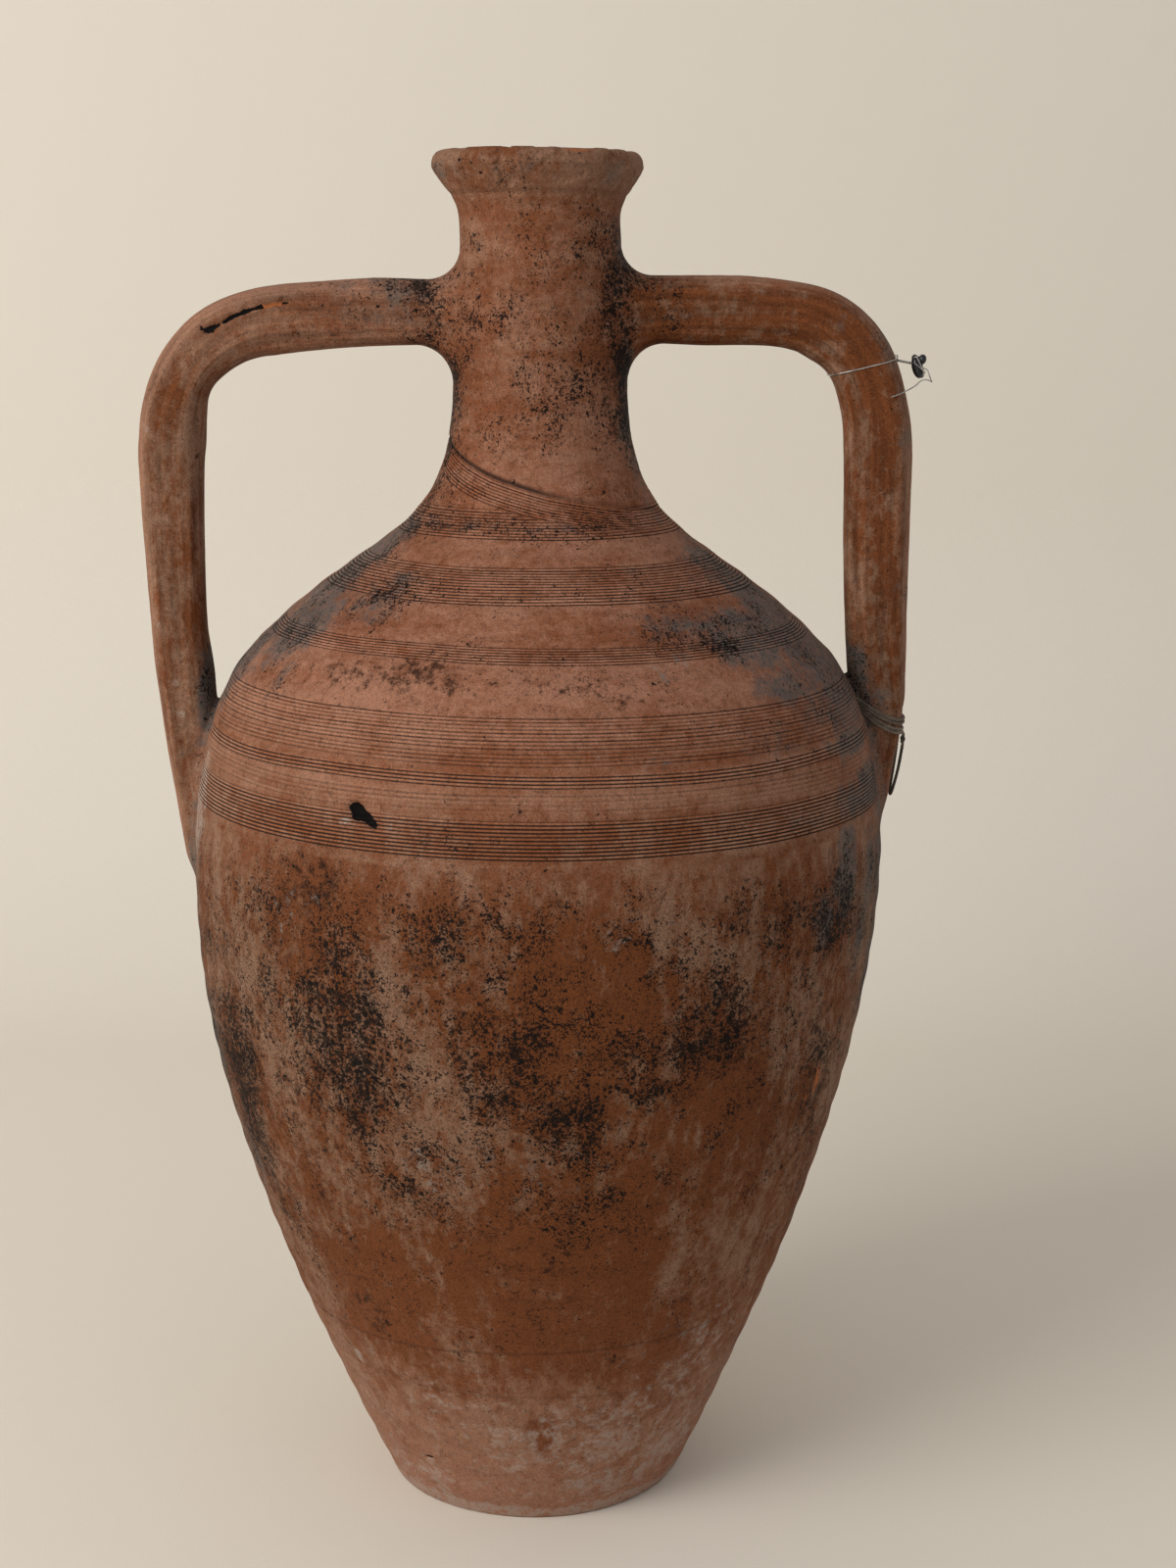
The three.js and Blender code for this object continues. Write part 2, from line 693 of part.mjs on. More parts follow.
const blank = bodyBlank();
addPiece('base_disc', baseDisc(), paleClay);
for (const section of WALL_SECTIONS) {
  addPiece(section.name, wallSection(section), section.name === 'belly_wall' ? sootyClay : clay);
}
addPiece('lip_ring', lipRing(), clay);
addPiece('handle_left', geometryOf(handleSolid(LEFT_HANDLE, blank, 0)), paleClay);
addPiece('handle_right', geometryOf(handleSolid(RIGHT_HANDLE, blank, 0)), clay);
addPiece('neck_luting_left', neckLuting(LEFT_HANDLE, blank), clay);
addPiece('neck_luting_right', neckLuting(RIGHT_HANDLE, blank), clay);
addPiece('twine_lashing', tube(lashing, TWINE_DIAMETER, STRAND_SIDES, lashing.length - 1), twine);
addPiece('twine_knot', knotGeometry(), twine);
addPiece('twine_loop', tube(LOOP_ROUTE, TWINE_DIAMETER, LOOP_SIDES, LOOP_STEPS), twine);
addPiece('wire_ring', tube(wireRingPath, WIRE_DIAMETER, STRAND_SIDES, TURN_STEPS), steel);
addPiece('wire_tail', tube(wireTailPath(), WIRE_DIAMETER, STRAND_SIDES, TAIL_STEPS), steel);
addPiece('seal', sealSolid(), blackPlastic);

export default jar;
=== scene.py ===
# %% [markdown]
# # A two-handled storage jar of unglazed clay
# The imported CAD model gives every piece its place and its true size. This script dresses it: the
# thrown wall gets its finger marks, combed bands, chips and stains, the handles get their pulled
# ridges and smeared roots, and the twine, the wire and the seal get their strands and folds.
# Every piece is made in metres, in the frame of the CAD model, so nothing has to be fitted.

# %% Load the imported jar
import math
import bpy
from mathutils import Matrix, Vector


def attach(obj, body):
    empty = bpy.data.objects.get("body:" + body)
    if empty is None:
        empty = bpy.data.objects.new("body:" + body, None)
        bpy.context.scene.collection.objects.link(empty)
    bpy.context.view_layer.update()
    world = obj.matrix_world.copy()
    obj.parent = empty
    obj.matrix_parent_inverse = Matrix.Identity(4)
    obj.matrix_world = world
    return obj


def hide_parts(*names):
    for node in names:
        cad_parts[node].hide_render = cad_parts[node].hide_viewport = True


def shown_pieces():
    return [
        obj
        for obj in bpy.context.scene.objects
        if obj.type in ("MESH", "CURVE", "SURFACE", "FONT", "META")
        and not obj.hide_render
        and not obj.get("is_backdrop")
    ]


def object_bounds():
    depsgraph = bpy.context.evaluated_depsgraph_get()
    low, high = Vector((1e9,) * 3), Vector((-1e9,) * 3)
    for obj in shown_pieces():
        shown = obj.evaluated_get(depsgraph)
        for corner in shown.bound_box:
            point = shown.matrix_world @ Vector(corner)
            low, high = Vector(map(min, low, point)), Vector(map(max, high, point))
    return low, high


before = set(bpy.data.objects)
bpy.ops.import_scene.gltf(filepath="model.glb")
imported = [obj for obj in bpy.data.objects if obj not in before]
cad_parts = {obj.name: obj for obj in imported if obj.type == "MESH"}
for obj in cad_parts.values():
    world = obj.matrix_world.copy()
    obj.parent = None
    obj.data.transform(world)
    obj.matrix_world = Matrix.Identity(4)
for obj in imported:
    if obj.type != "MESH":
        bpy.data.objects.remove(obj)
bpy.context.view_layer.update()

from types import SimpleNamespace

import bpy
import numpy as np
from mathutils import Matrix, Vector
from mathutils.bvhtree import BVHTree

MM = 0.001

# %% [markdown]
# ## Camera
# The jar was photographed from a little below its rim, looking slightly down. The viewpoint comes
# from fitting the jar's outline: one focal length in pixels, one distance, and three small turns.

# %% Camera at the photograph's viewpoint
FRAME_HEIGHT_PIXELS = 1600
FOCAL_PIXELS = 2350
SENSOR = 36
CAMERA_PLACE = Vector((0, -1.1866, 0.628))
PITCH_DOWN = math.radians(11.86)
YAW_RIGHT = math.radians(1.255)
ROLL = math.radians(0.47)

right = Vector((math.cos(YAW_RIGHT), -math.sin(YAW_RIGHT), 0))
level = Vector((math.sin(YAW_RIGHT), math.cos(YAW_RIGHT), 0))
forward = level * math.cos(PITCH_DOWN) - Vector((0, 0, math.sin(PITCH_DOWN)))
up = right.cross(forward)
rolled_right = right * math.cos(ROLL) + up * math.sin(ROLL)
rolled_up = up * math.cos(ROLL) - right * math.sin(ROLL)

camera = bpy.data.objects.new("camera", bpy.data.cameras.new("camera"))
camera.data.sensor_width = SENSOR
camera.data.lens = FOCAL_PIXELS / FRAME_HEIGHT_PIXELS * SENSOR
camera.matrix_world = Matrix.Translation(CAMERA_PLACE) @ Matrix(
    (rolled_right, rolled_up, -forward)).transposed().to_4x4()
bpy.context.scene.collection.objects.link(camera)
bpy.context.scene.camera = camera
print("lens in mm:", round(camera.data.lens, 2))

# %% [markdown]
# ## Small helpers
# A node tree that makes geometry is set on an object through a modifier, evaluated once, and
# turned into a plain mesh, so that nothing live is left behind.


# %% Helpers for meshes and objects
def mesh_from(name, points, faces=(), edges=()):
    mesh = bpy.data.meshes.new(name)
    mesh.from_pydata(np.asarray(points).tolist(), list(edges), list(faces))
    mesh.shade_smooth()
    return mesh


def place(mesh, material=None):
    made = bpy.data.objects.new(mesh.name, mesh)
    bpy.context.scene.collection.objects.link(made)
    if material:
        mesh.materials.append(material)
    return made


def hand_over(thing, body, slot, *nodes):
    """Parents a piece to its body's empty and hides the CAD nodes it stands for. The slot is not used."""
    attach(thing, body)
    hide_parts(*nodes)
    return thing


def store_on_points(mesh, shape, values):
    """Stores numbers or vectors on a grid of points; the poles that follow the grid get zero."""
    for name, value in values.items():
        value = np.asarray(value)
        value = np.broadcast_to(value, shape + value.shape[2:]).reshape((-1,) + value.shape[2:])
        full = np.zeros((len(mesh.vertices),) + value.shape[1:], dtype=np.float32)
        full[:len(value)] = value
        kind, field = ("FLOAT_VECTOR", "vector") if full.ndim > 1 else ("FLOAT", "value")
        mesh.attributes.new(name, kind, "POINT").data.foreach_set(field, full.ravel())


def tube_faces(rows, sides, closed):
    """Quads between rings of points. Closed joins the last ring to the first; else two poles end it."""
    i = np.arange(sides)
    j = (i + 1) % sides
    faces = []
    for row in range(rows if closed else rows - 1):
        low, high = row * sides, (row + 1) % rows * sides
        faces += np.stack([low + i, low + j, high + j, high + i], axis=1).tolist()
    if not closed:
        last, pole = (rows - 1) * sides, np.full(sides, rows * sides)
        faces += np.stack([pole, j, i], axis=1).tolist()
        faces += np.stack([pole + 1, last + i, last + j], axis=1).tolist()
    return faces


def run_tree(thing, tree, values):
    """Adds the tree as a modifier, with each input set by its socket's identifier."""
    modifier = thing.modifiers.new(tree.name, "NODES")
    modifier.node_group = tree
    for socket in tree.interface.items_tree:
        if socket.in_out == "INPUT" and socket.name in values:
            modifier[socket.identifier] = values[socket.name]


def settle(thing):
    """Turns what the modifiers make into the object's own plain mesh."""
    thing.update_tag()
    bpy.context.view_layer.update()
    graph = bpy.context.evaluated_depsgraph_get()
    made = bpy.data.meshes.new_from_object(thing.evaluated_get(graph), depsgraph=graph)
    thing.modifiers.clear()
    made.name = thing.name
    thing.data = made
    print(f"{thing.name}: {len(made.polygons)} faces")
    return thing


# %% [markdown]
# ## Arithmetic in node trees
# A value in a node tree is wrapped, so that plus, minus, times and divide add the node that works
# it out. A formula then reads as it would on paper, and one helper adds any other kind of node.

# %% Values that write their own nodes
SOCKET_KINDS = {float: "NodeSocketFloat", int: "NodeSocketInt", tuple: "NodeSocketColor"}


def set_inputs(node, inputs):
    """Links the inputs that come from another node, and sets the plain ones."""
    for key, value in inputs.items():
        source = value.socket if isinstance(value, Value) else value
        if isinstance(source, bpy.types.NodeSocket):
            node.id_data.links.new(source, node.inputs[key])
        else:
            node.inputs[key].default_value = source


def add_node(tree, kind, inputs=None, **settings):
    made = tree.nodes.new(kind)
    for name, value in settings.items():
        setattr(made, name, value)
    set_inputs(made, inputs or {})
    return made


def value_of(tree, kind, inputs=None, output=0, **settings):
    return Value(tree, add_node(tree, kind, inputs, **settings).outputs[output])


def worked_out(tree, operation, *values):
    return value_of(tree, "ShaderNodeMath", dict(enumerate(values)), operation=operation)


class Value:
    """What one socket gives out."""

    def __init__(self, tree, socket):
        self.tree, self.socket = tree, socket

    def maths(self, operation, *others):
        return worked_out(self.tree, operation, self, *others)

    def __add__(self, other):
        return self.maths("ADD", other)

    def __mul__(self, other):
        return self.maths("MULTIPLY", other)

    def __sub__(self, other):
        return self.maths("SUBTRACT", other)

    def __rsub__(self, other):
        return worked_out(self.tree, "SUBTRACT", other, self)

    def __truediv__(self, other):
        return self.maths("DIVIDE", other)

    def clamped(self):
        self.socket.node.use_clamp = True
        return self

    def centred(self, spread):
        return (self - 0.5) * spread

    def smooth(self, low, high):
        """Rises softly from 0 to 1 between two limits."""
        limits = {"Value": self, "From Min": low, "From Max": high}
        return value_of(self.tree, "ShaderNodeMapRange", limits, "Result", interpolation_type="SMOOTHSTEP")


def new_tree(name, kind, inputs, outputs):
    """An empty group. An input is given by its first value, or by the name of its kind."""
    tree = bpy.data.node_groups.new(name, kind)
    for label, first in inputs.items():
        socket_kind = "NodeSocket" + first if isinstance(first, str) else SOCKET_KINDS[type(first)]
        made = tree.interface.new_socket(label, in_out="INPUT", socket_type=socket_kind)
        if not isinstance(first, str):
            made.default_value = first
    for label, socket_kind in outputs.items():
        tree.interface.new_socket(label, in_out="OUTPUT", socket_type="NodeSocket" + socket_kind)
    start = tree.nodes.new("NodeGroupInput")
    return tree, {label: Value(tree, start.outputs[label]) for label in inputs}


def give_out(tree, values):
    add_node(tree, "NodeGroupOutput", values)
    return tree


def new_material(name, surface_inputs):
    """A material whose surface gets the inputs that a function makes in its tree."""
    material = bpy.data.materials.new(name)
    material.use_nodes = True
    set_inputs(material.node_tree.nodes["Principled BSDF"], surface_inputs(material.node_tree))
    return material


def object_place(tree):
    return value_of(tree, "ShaderNodeTexCoord", output="Object")


def noise(tree, at, scale, detail=4.0, roughness=0.6):
    inputs = {"Vector": at, "Scale": scale, "Detail": detail, "Roughness": roughness}
    return value_of(tree, "ShaderNodeTexNoise", inputs)


def mixed(tree, share, below, above):
    return value_of(tree, "ShaderNodeMix", {0: share, 6: below, 7: above}, 2, data_type="RGBA")


def shaded(tree, colour, brightness):
    return value_of(tree, "ShaderNodeHueSaturation", {"Value": brightness, "Color": colour})


def bump(tree, height):
    return value_of(tree, "ShaderNodeBump", {"Height": height, "Distance": 1.0}, "Normal")


def vector_maths(tree, operation, inputs):
    return value_of(tree, "ShaderNodeVectorMath", inputs, operation=operation)


# %% [markdown]
# ## Shared effects for every surface
# Fired clay is never one colour. Dusty and warm clouds drift over it, burnt patches break into fine
# flecks, and round sooty freckles sit on top, up to 2 mm wide. These effects live in shader node
# groups that give out colours and masks only. The broad stains sit where smoke, water and lime
# left them on this jar, and a few of them are painted shade. They are stored as values on the
# points, and the groups break their edges.


# %% Shader group: clouds and grain
def clouds_group():
    first_values = {"Light": (0.3, 0.14, 0.08, 1), "Dark": (0.2, 0.08, 0.05, 1), "Along Z": 1.0,
                    "Contrast": 1.0, "Lean": 0.0}
    tree, given = new_tree("clay_clouds", "ShaderNodeTree", first_values,
                           {"Color": "Color", "Grain": "Float"})
    at = object_place(tree)
    stretch = value_of(tree, "ShaderNodeCombineXYZ", {0: 1.0, 1: 1.0, 2: given["Along Z"]})
    drawn = vector_maths(tree, "MULTIPLY", {0: at, 1: stretch})
    broad, middling, fine = (noise(tree, drawn, 14.0), noise(tree, drawn, 50.0, 6.0, 0.68),
                             noise(tree, drawn, 200.0, 5.0, 0.75))
    tone = broad * 0.3 + middling * 0.4 + fine * 0.3
    share = (tone.centred(given["Contrast"] * 6.0) + given["Lean"] + 0.5).clamped()
    grain = noise(tree, at, 1300.0, 2.0, 0.7)
    colour = shaded(tree, mixed(tree, share, given["Light"], given["Dark"]), grain * 1.7 + 0.15)
    return give_out(tree, {"Color": colour, "Grain": grain})


# %% Shader group: fine flecks and round freckles of soot
def flecks_group():
    tree, given = new_tree("soot_flecks", "ShaderNodeTree", {"Density": 0.1, "Freckles": 0.0},
                           {"Cover": "Float"})
    at = object_place(tree)
    crowd = noise(tree, at, 62.0, 5.0, 0.65).centred(1.7)
    wanted = given["Density"] + crowd
    covers = []
    for scale, rarity in ((430.0, 0.745), (900.0, 0.735)):
        threshold = rarity - wanted * 0.24
        covers.append((noise(tree, at, scale, 3.0, 0.65) - threshold).smooth(0.0, 0.06))
    bend = value_of(tree, "ShaderNodeTexNoise", {"Vector": at, "Scale": 420.0, "Detail": 2.0}, "Color")
    bent = value_of(tree, "ShaderNodeMix", {0: 0.0022, 4: at, 5: bend}, 1, data_type="VECTOR")
    many = (crowd * 0.7 + given["Freckles"]).clamped() * given["Freckles"]
    sprinkled = (wanted * 0.42 - 0.06).clamped()
    for scale, amount, reach in ((290.0, many, 0.53), (560.0, many, 0.5), (820.0, sprinkled, 0.42)):
        cells = add_node(tree, "ShaderNodeTexVoronoi", {"Vector": bent, "Scale": scale, "Randomness": 1.0})
        chance = value_of(tree, "ShaderNodeSeparateColor", {0: cells.outputs["Color"]})
        size = (amount * 1.05 - chance).clamped().maths("POWER", 0.35) * reach
        covers.append((size - Value(tree, cells.outputs["Distance"])).smooth(-0.01, 0.06))
    cover = covers[0]
    for other in covers[1:]:
        cover = cover.maths("MAXIMUM", other)
    return give_out(tree, {"Cover": cover})


# %% Shader group: ragged edges for a soft painted stain
def ragged_group():
    first_values = {"Mask": 0.0, "Scale": 60.0, "Ragged": 1.0, "From": 0.3, "To": 1.05}
    tree, given = new_tree("ragged_stain", "ShaderNodeTree", first_values, {"Cover": "Float"})
    edge = noise(tree, object_place(tree), given["Scale"], 8.0, 0.72).centred(1.0)
    total = given["Mask"] + edge * given["Ragged"]
    cover = total.smooth(given["From"], given["To"]) * given["Mask"].smooth(0.0, 0.15)
    return give_out(tree, {"Cover": cover})


CLOUDS, FLECKS, RAGGED = clouds_group(), flecks_group(), ragged_group()
print("shader groups:", [group.name for group in (CLOUDS, FLECKS, RAGGED)])


def clouds(tree, light, dark, along_z=1.0, contrast=1.0, lean=0.0):
    """The colour and the grain that the cloud group gives out."""
    inputs = {"Light": light, "Dark": dark, "Along Z": along_z, "Contrast": contrast, "Lean": lean}
    node = add_node(tree, "ShaderNodeGroup", inputs, node_tree=CLOUDS)
    return [Value(tree, node.outputs[name]) for name in ("Color", "Grain")]


# %% [markdown]
# ## The clay material
# One material serves all the clay, because the wall, the lip and the handles are one fired body.
# From the bottom up it lays two sets of clouds, for the dark belly and for the paler shoulder,
# finger streaks on the handles, burnt umber stains, grey smoke, lime bloom, fresh orange clay in
# chips, a burnt halo round the freckles, a painted highlight on the comb ridges, dirt and painted
# shade in the comb grooves, and soot. The umber and smoke layers also carry painted shade in the
# crooks of the handles and on shaded parts of the wall. Every layer is a mask of its own. The
# forms that can be seen on the outline are real geometry, so only the finest grit goes through a
# bump node.

# %% The fired clay
BELLY_DUSTY, BELLY_WARM = (0.212, 0.120, 0.075, 1), (0.128, 0.040, 0.0125, 1)
SHOULDER_DUSTY, SHOULDER_WARM = (0.320, 0.148, 0.090, 1), (0.200, 0.068, 0.030, 1)
# The burnt umber and the smoke grey also serve as painted shade in the crooks of the handles and on shaded
# parts of the wall.
BURNT_UMBER_AND_SHADE, SMOKE_GREY_AND_SHADE, LIME = (0.026, 0.0095, 0.0045, 1), (0.110, 0.097, 0.087, 1), (0.38, 0.31, 0.26, 1)
FRESH_CLAY, SOOT = (0.36, 0.115, 0.036, 1), (0.0045, 0.0035, 0.003, 1)
GROOVE_DIRT_AND_SHADE = (0.014, 0.008, 0.006, 1)
STAIN_LAYERS = [
    # stain, colour, noise scale, raggedness, where its edge starts and ends, most cover, grit in it
    ("rust_and_shade", BURNT_UMBER_AND_SHADE, 150.0, 4.4, 0.7, 1.12, 0.86, 0.3),
    ("smoke_and_shade", SMOKE_GREY_AND_SHADE, 110.0, 1.9, 0.3, 0.95, 0.92, 0.18),
    ("pale", LIME, 150.0, 3.2, 0.4, 1.0, 0.7, 0.3),
    ("fresh", FRESH_CLAY, 240.0, 0.8, 0.3, 1.05, 0.95, None),
]


def clay_surface(tree):
    """The layered colour of the clay, and the relief of its grain and soot."""

    def stored(name):
        return value_of(tree, "ShaderNodeAttribute", output="Fac", attribute_name=name)

    pull = value_of(tree, "ShaderNodeAttribute", output="Vector", attribute_name="pull")
    lean = stored("warm").centred(1.5) + noise(tree, pull, 75.0, 5.0, 0.68).centred(2.6)
    belly, grain = clouds(tree, BELLY_DUSTY, BELLY_WARM, along_z=0.7, contrast=1.25, lean=lean)
    shoulder, _ = clouds(tree, SHOULDER_DUSTY, SHOULDER_WARM, contrast=0.9, lean=lean)
    colour = mixed(tree, stored("tone"), belly, shoulder)
    streak = noise(tree, pull, 330.0, 4.0, 0.6).centred(3.0)
    colour = shaded(tree, colour, streak * stored("pulled") + 1.0)

    fine = noise(tree, object_place(tree), 330.0, 5.0, 0.75)
    for name, above, scale, ragged, edge_from, edge_to, most, grit in STAIN_LAYERS:
        inputs = {"Mask": stored(name), "Scale": scale, "Ragged": ragged, "From": edge_from, "To": edge_to}
        share = value_of(tree, "ShaderNodeGroup", inputs, node_tree=RAGGED) * most
        if grit is not None:
            share = share * fine.smooth(grit, 0.6)
        colour = mixed(tree, share, colour, above)
    speckle = stored("speckle")
    colour = mixed(tree, fine.smooth(0.52, 0.74) * 0.6, colour, BURNT_UMBER_AND_SHADE)
    colour = mixed(tree, speckle * 0.5 * fine.smooth(0.36, 0.64), colour, BURNT_UMBER_AND_SHADE)

    comb = stored("comb")
    from_ridge = (stored("tooth").maths("FRACT") * 2.0 - 1.0).maths("ABSOLUTE")
    # The comb ridges are painted lighter, a painted highlight where the light catches them, and the grooves
    # darker, with dirt and painted shade.
    colour = shaded(tree, colour, from_ridge.smooth(0.5, 1.0) * comb * 0.4 + 1.0)
    line = (1.0 - from_ridge).smooth(0.45, 0.8) * comb * (fine * 2.6 - 0.15)
    groove = line.maths("MAXIMUM", stored("groove")).clamped()
    colour = mixed(tree, groove * 0.9, colour, GROOVE_DIRT_AND_SHADE)

    density = stored("pepper") + speckle * 0.4 + stored("rust_and_shade") * 0.15 + stored("smoke_and_shade") * 0.42
    soot = value_of(tree, "ShaderNodeGroup", {"Density": density, "Freckles": speckle}, node_tree=FLECKS)
    colour = mixed(tree, soot * (fine * 0.9 + 0.48).clamped(), colour, SOOT)
    dark = stored("dark")
    hole = (dark + fine.centred(0.7)).smooth(0.36, 0.52) * dark.smooth(0.05, 0.2)
    colour = mixed(tree, hole, colour, SOOT)
    relief = bump(tree, grain * 0.00022 + soot * 0.0001)
    return {"Base Color": colour, "Normal": relief, "Roughness": 0.78, "Specular IOR Level": 0.1}


CLAY = new_material("fired_clay", clay_surface)
print("clay nodes:", len(CLAY.node_tree.nodes))

# %% [markdown]
# ## Twine: the loose bight, and the tree that lays every strand
# A thin brown twine is wound round the foot of the right handle, and what is left of it hangs down
# as a small loop. Twine is three yarns laid round each other, so a Geometry Nodes tree follows any
# path and winds three round yarns about it.


# %% Geometry Nodes: yarns laid round a path
def path_in_steps(tree, given):
    path = value_of(tree, "GeometryNodeMeshToCurve", {0: given["Geometry"]})
    inputs = {"Curve": path, "Length": given["Step"]}
    return value_of(tree, "GeometryNodeResampleCurve", inputs, mode="LENGTH")


def round_tube(tree, path, radius, corners):
    ring = value_of(tree, "GeometryNodeCurvePrimitiveCircle", {"Resolution": corners, "Radius": radius})
    inputs = {"Curve": path, "Profile Curve": ring, "Fill Caps": True}
    return value_of(tree, "GeometryNodeCurveToMesh", inputs)


def end_tree(tree, geometry, material):
    real = value_of(tree, "GeometryNodeRealizeInstances", {0: geometry})
    done = value_of(tree, "GeometryNodeSetMaterial", {"Geometry": real, "Material": material})
    return give_out(tree, {"Geometry": done})


def laid_twine_tree():
    first_values = {"Geometry": "Geometry", "Diameter": 0.0018, "Lay Length": 0.0052, "Step": 0.0005,
                    "Material": "Material"}
    tree, given = new_tree("laid_twine", "GeometryNodeTree", first_values, {"Geometry": "Geometry"})
    path = path_in_steps(tree, given)
    travelled = value_of(tree, "GeometryNodeSplineParameter", output="Length")
    turned = travelled / given["Lay Length"] * math.tau
    normal = value_of(tree, "GeometryNodeInputNormal")
    along = value_of(tree, "GeometryNodeInputTangent")
    side = vector_maths(tree, "CROSS_PRODUCT", {0: along, 1: normal})
    joined = tree.nodes.new("GeometryNodeJoinGeometry")
    for yarn in range(3):
        angle = turned + yarn * math.tau / 3
        out = vector_maths(tree, "SCALE", {0: normal, "Scale": angle.maths("COSINE")})
        across = vector_maths(tree, "SCALE", {0: side, "Scale": angle.maths("SINE")})
        way = vector_maths(tree, "ADD", {0: out, 1: across})
        shift = vector_maths(tree, "SCALE", {0: way, "Scale": given["Diameter"] * 0.268})
        moved = value_of(tree, "GeometryNodeSetPosition", {"Geometry": path, "Offset": shift})
        set_inputs(joined, {0: round_tube(tree, moved, given["Diameter"] * 0.232, 8)})
    return end_tree(tree, joined.outputs[0], given["Material"])


def twine_material(name, light, dark):

    def surface(tree):
        colour, _ = clouds(tree, light, dark, along_z=3.0)
        fibre = noise(tree, object_place(tree), 2600.0, 3.0, 0.5)
        colour = shaded(tree, colour, fibre * 0.9 + 0.55)
        return {"Base Color": colour, "Roughness": 0.92, "Normal": bump(tree, fibre * 0.00012)}

    return new_material(name, surface)


TWINE_DIAMETER = 1.8 * MM
STRAND_STEP = 0.5 * MM
LAID_TWINE = laid_twine_tree()
TWINE = twine_material("weathered_twine", (0.23, 0.18, 0.135, 1), (0.10, 0.075, 0.055, 1))
OLD_TWINE = twine_material("sooty_twine", (0.075, 0.062, 0.048, 1), (0.028, 0.024, 0.02, 1))


# %% Smooth paths, and twine along them
def blended(t, start, end, low, high):
    """The point that belongs to t on the straight line from start, at low, to end, at high."""
    return ((high - t) * start + (t - low) * end) / (high - low)


def smooth_path(points, spacing):
    """A smooth curve through the points, in even steps."""
    points = np.asarray(points, float)
    ends = np.vstack([2 * points[0] - points[1], points, 2 * points[-1] - points[-2]])
    dense = []
    for corners in zip(ends[:-3], ends[1:-2], ends[2:-1], ends[3:]):
        gaps = [math.sqrt(max(np.linalg.norm(q - p), 1e-9)) for p, q in zip(corners, corners[1:])]
        knots = np.cumsum([0] + gaps)
        for t in np.linspace(knots[1], knots[2], 24, endpoint=False):
            sides = [blended(t, corners[i], corners[i + 1], knots[i], knots[i + 1]) for i in range(3)]
            bends = [blended(t, sides[i], sides[i + 1], knots[i], knots[i + 2]) for i in range(2)]
            dense.append(blended(t, bends[0], bends[1], knots[1], knots[2]))
    return even_steps(np.array(dense + [points[-1]]), spacing)


def way_along(line):
    return np.concatenate([[0], np.cumsum(np.linalg.norm(np.diff(line, axis=0), axis=1))])


def length_of(line):
    return float(way_along(line)[-1])


def even_steps(line, spacing):
    gone = way_along(line)
    count = max(int(round(gone[-1] / spacing)), 2)
    stops = np.linspace(0, gone[-1], count + 1)
    return np.stack([np.interp(stops, gone, line[:, axis]) for axis in range(3)], axis=1)


def tube_along(name, path, tree, values):
    made = place(mesh_from(name, path, edges=[(i, i + 1) for i in range(len(path) - 1)]))
    run_tree(made, tree, {"Step": STRAND_STEP, **values})
    settle(made)
    made.data.shade_smooth()
    return made


def twine_along(name, path, material, node, diameter=TWINE_DIAMETER):
    sizes = {"Diameter": diameter, "Lay Length": diameter * 2.9, "Material": material}
    return hand_over(tube_along(name, path, LAID_TWINE, sizes), "jar", "twine", node)


# %% The loose bight of twine
LOOP_ROUTE = [
    (0.1907, -0.0036, 0.4009), (0.1904, -0.0037, 0.399), (0.1898, -0.004, 0.395),
    (0.1889, -0.0042, 0.3895), (0.1878, -0.004, 0.384), (0.1867, -0.0033, 0.379),
    (0.186, -0.0017, 0.3754), (0.1858, 0.0008, 0.3739), (0.186, 0.0034, 0.3754),
    (0.1866, 0.0051, 0.379), (0.1874, 0.006, 0.384), (0.1882, 0.0066, 0.3895),
    (0.1889, 0.007, 0.395), (0.1894, 0.0072, 0.4), (0.1898, 0.0073, 0.4045), (0.19, 0.0074, 0.4092),
]
loop_path = smooth_path(LOOP_ROUTE, 1.8 * MM)
twine_loop = twine_along("loose_twine_loop", loop_path, OLD_TWINE, "twine_loop")
print("loose loop, length in mm:", round(length_of(loop_path) / MM, 1))

# %% [markdown]
# ## The outline that everything shares
# The wall was thrown in sections on a wheel, so one outline turned about the upright axis gives
# its shape. The outline is five smooth curves with the same values as in CAD, and every other
# piece asks it for a radius. A hand-made jar isn't quite straight: its centre line wanders by up
# to 2 mm, and the wall has soft hollows where the fingers pressed.

# %% The outline of the wall
JAR_HEIGHT = 0.700
LIP_BASE = 0.679
WALL = 0.0085
CURVES = [
    # start and end as radius and height in mm, the slope at both, and how far each slope holds
    ((79.5, 0), (180, 345), 0.47, 0, 0.53, 0.2),
    ((180, 345), (151, 451), 0, -0.94, 0.72, 0),
    ((151, 451), (44.3, 591), -0.94, 0, 0.48, 0.63),
    ((44.3, 591), (40.3, 665), 0, 0, 1 / 3, 1 / 3),
    ((40.3, 665), (43.8, 679), 0, 0.5, 0.5, 1 / 3),
]


def eased(t):
    """Turns an even rise from 0 to 1 into a soft one."""
    return t * t * (3 - 2 * t)


def bezier(t, start, first, second, end):
    a, b, c, d = (np.array(p, float) for p in (start, first, second, end))
    return (1 - t) ** 3 * a + 3 * (1 - t) ** 2 * t * b + 3 * (1 - t) * t ** 2 * c + t ** 3 * d


def curve_points(start, end, slope_start, slope_end, hold_start, hold_end, count=160):
    rise = end[1] - start[1]
    first = (start[0] + slope_start * hold_start * rise, start[1] + hold_start * rise)
    second = (end[0] - slope_end * hold_end * rise, end[1] - hold_end * rise)
    return bezier(np.linspace(0, 1, count + 1)[:, None], start, first, second, end)


outline = np.vstack([curve_points(*curve)[:-1] for curve in CURVES] + [CURVES[-1][1]]) * MM
outline_way = way_along(outline)


def wall_radius(height):
    return np.interp(height, outline[:, 1], outline[:, 0])


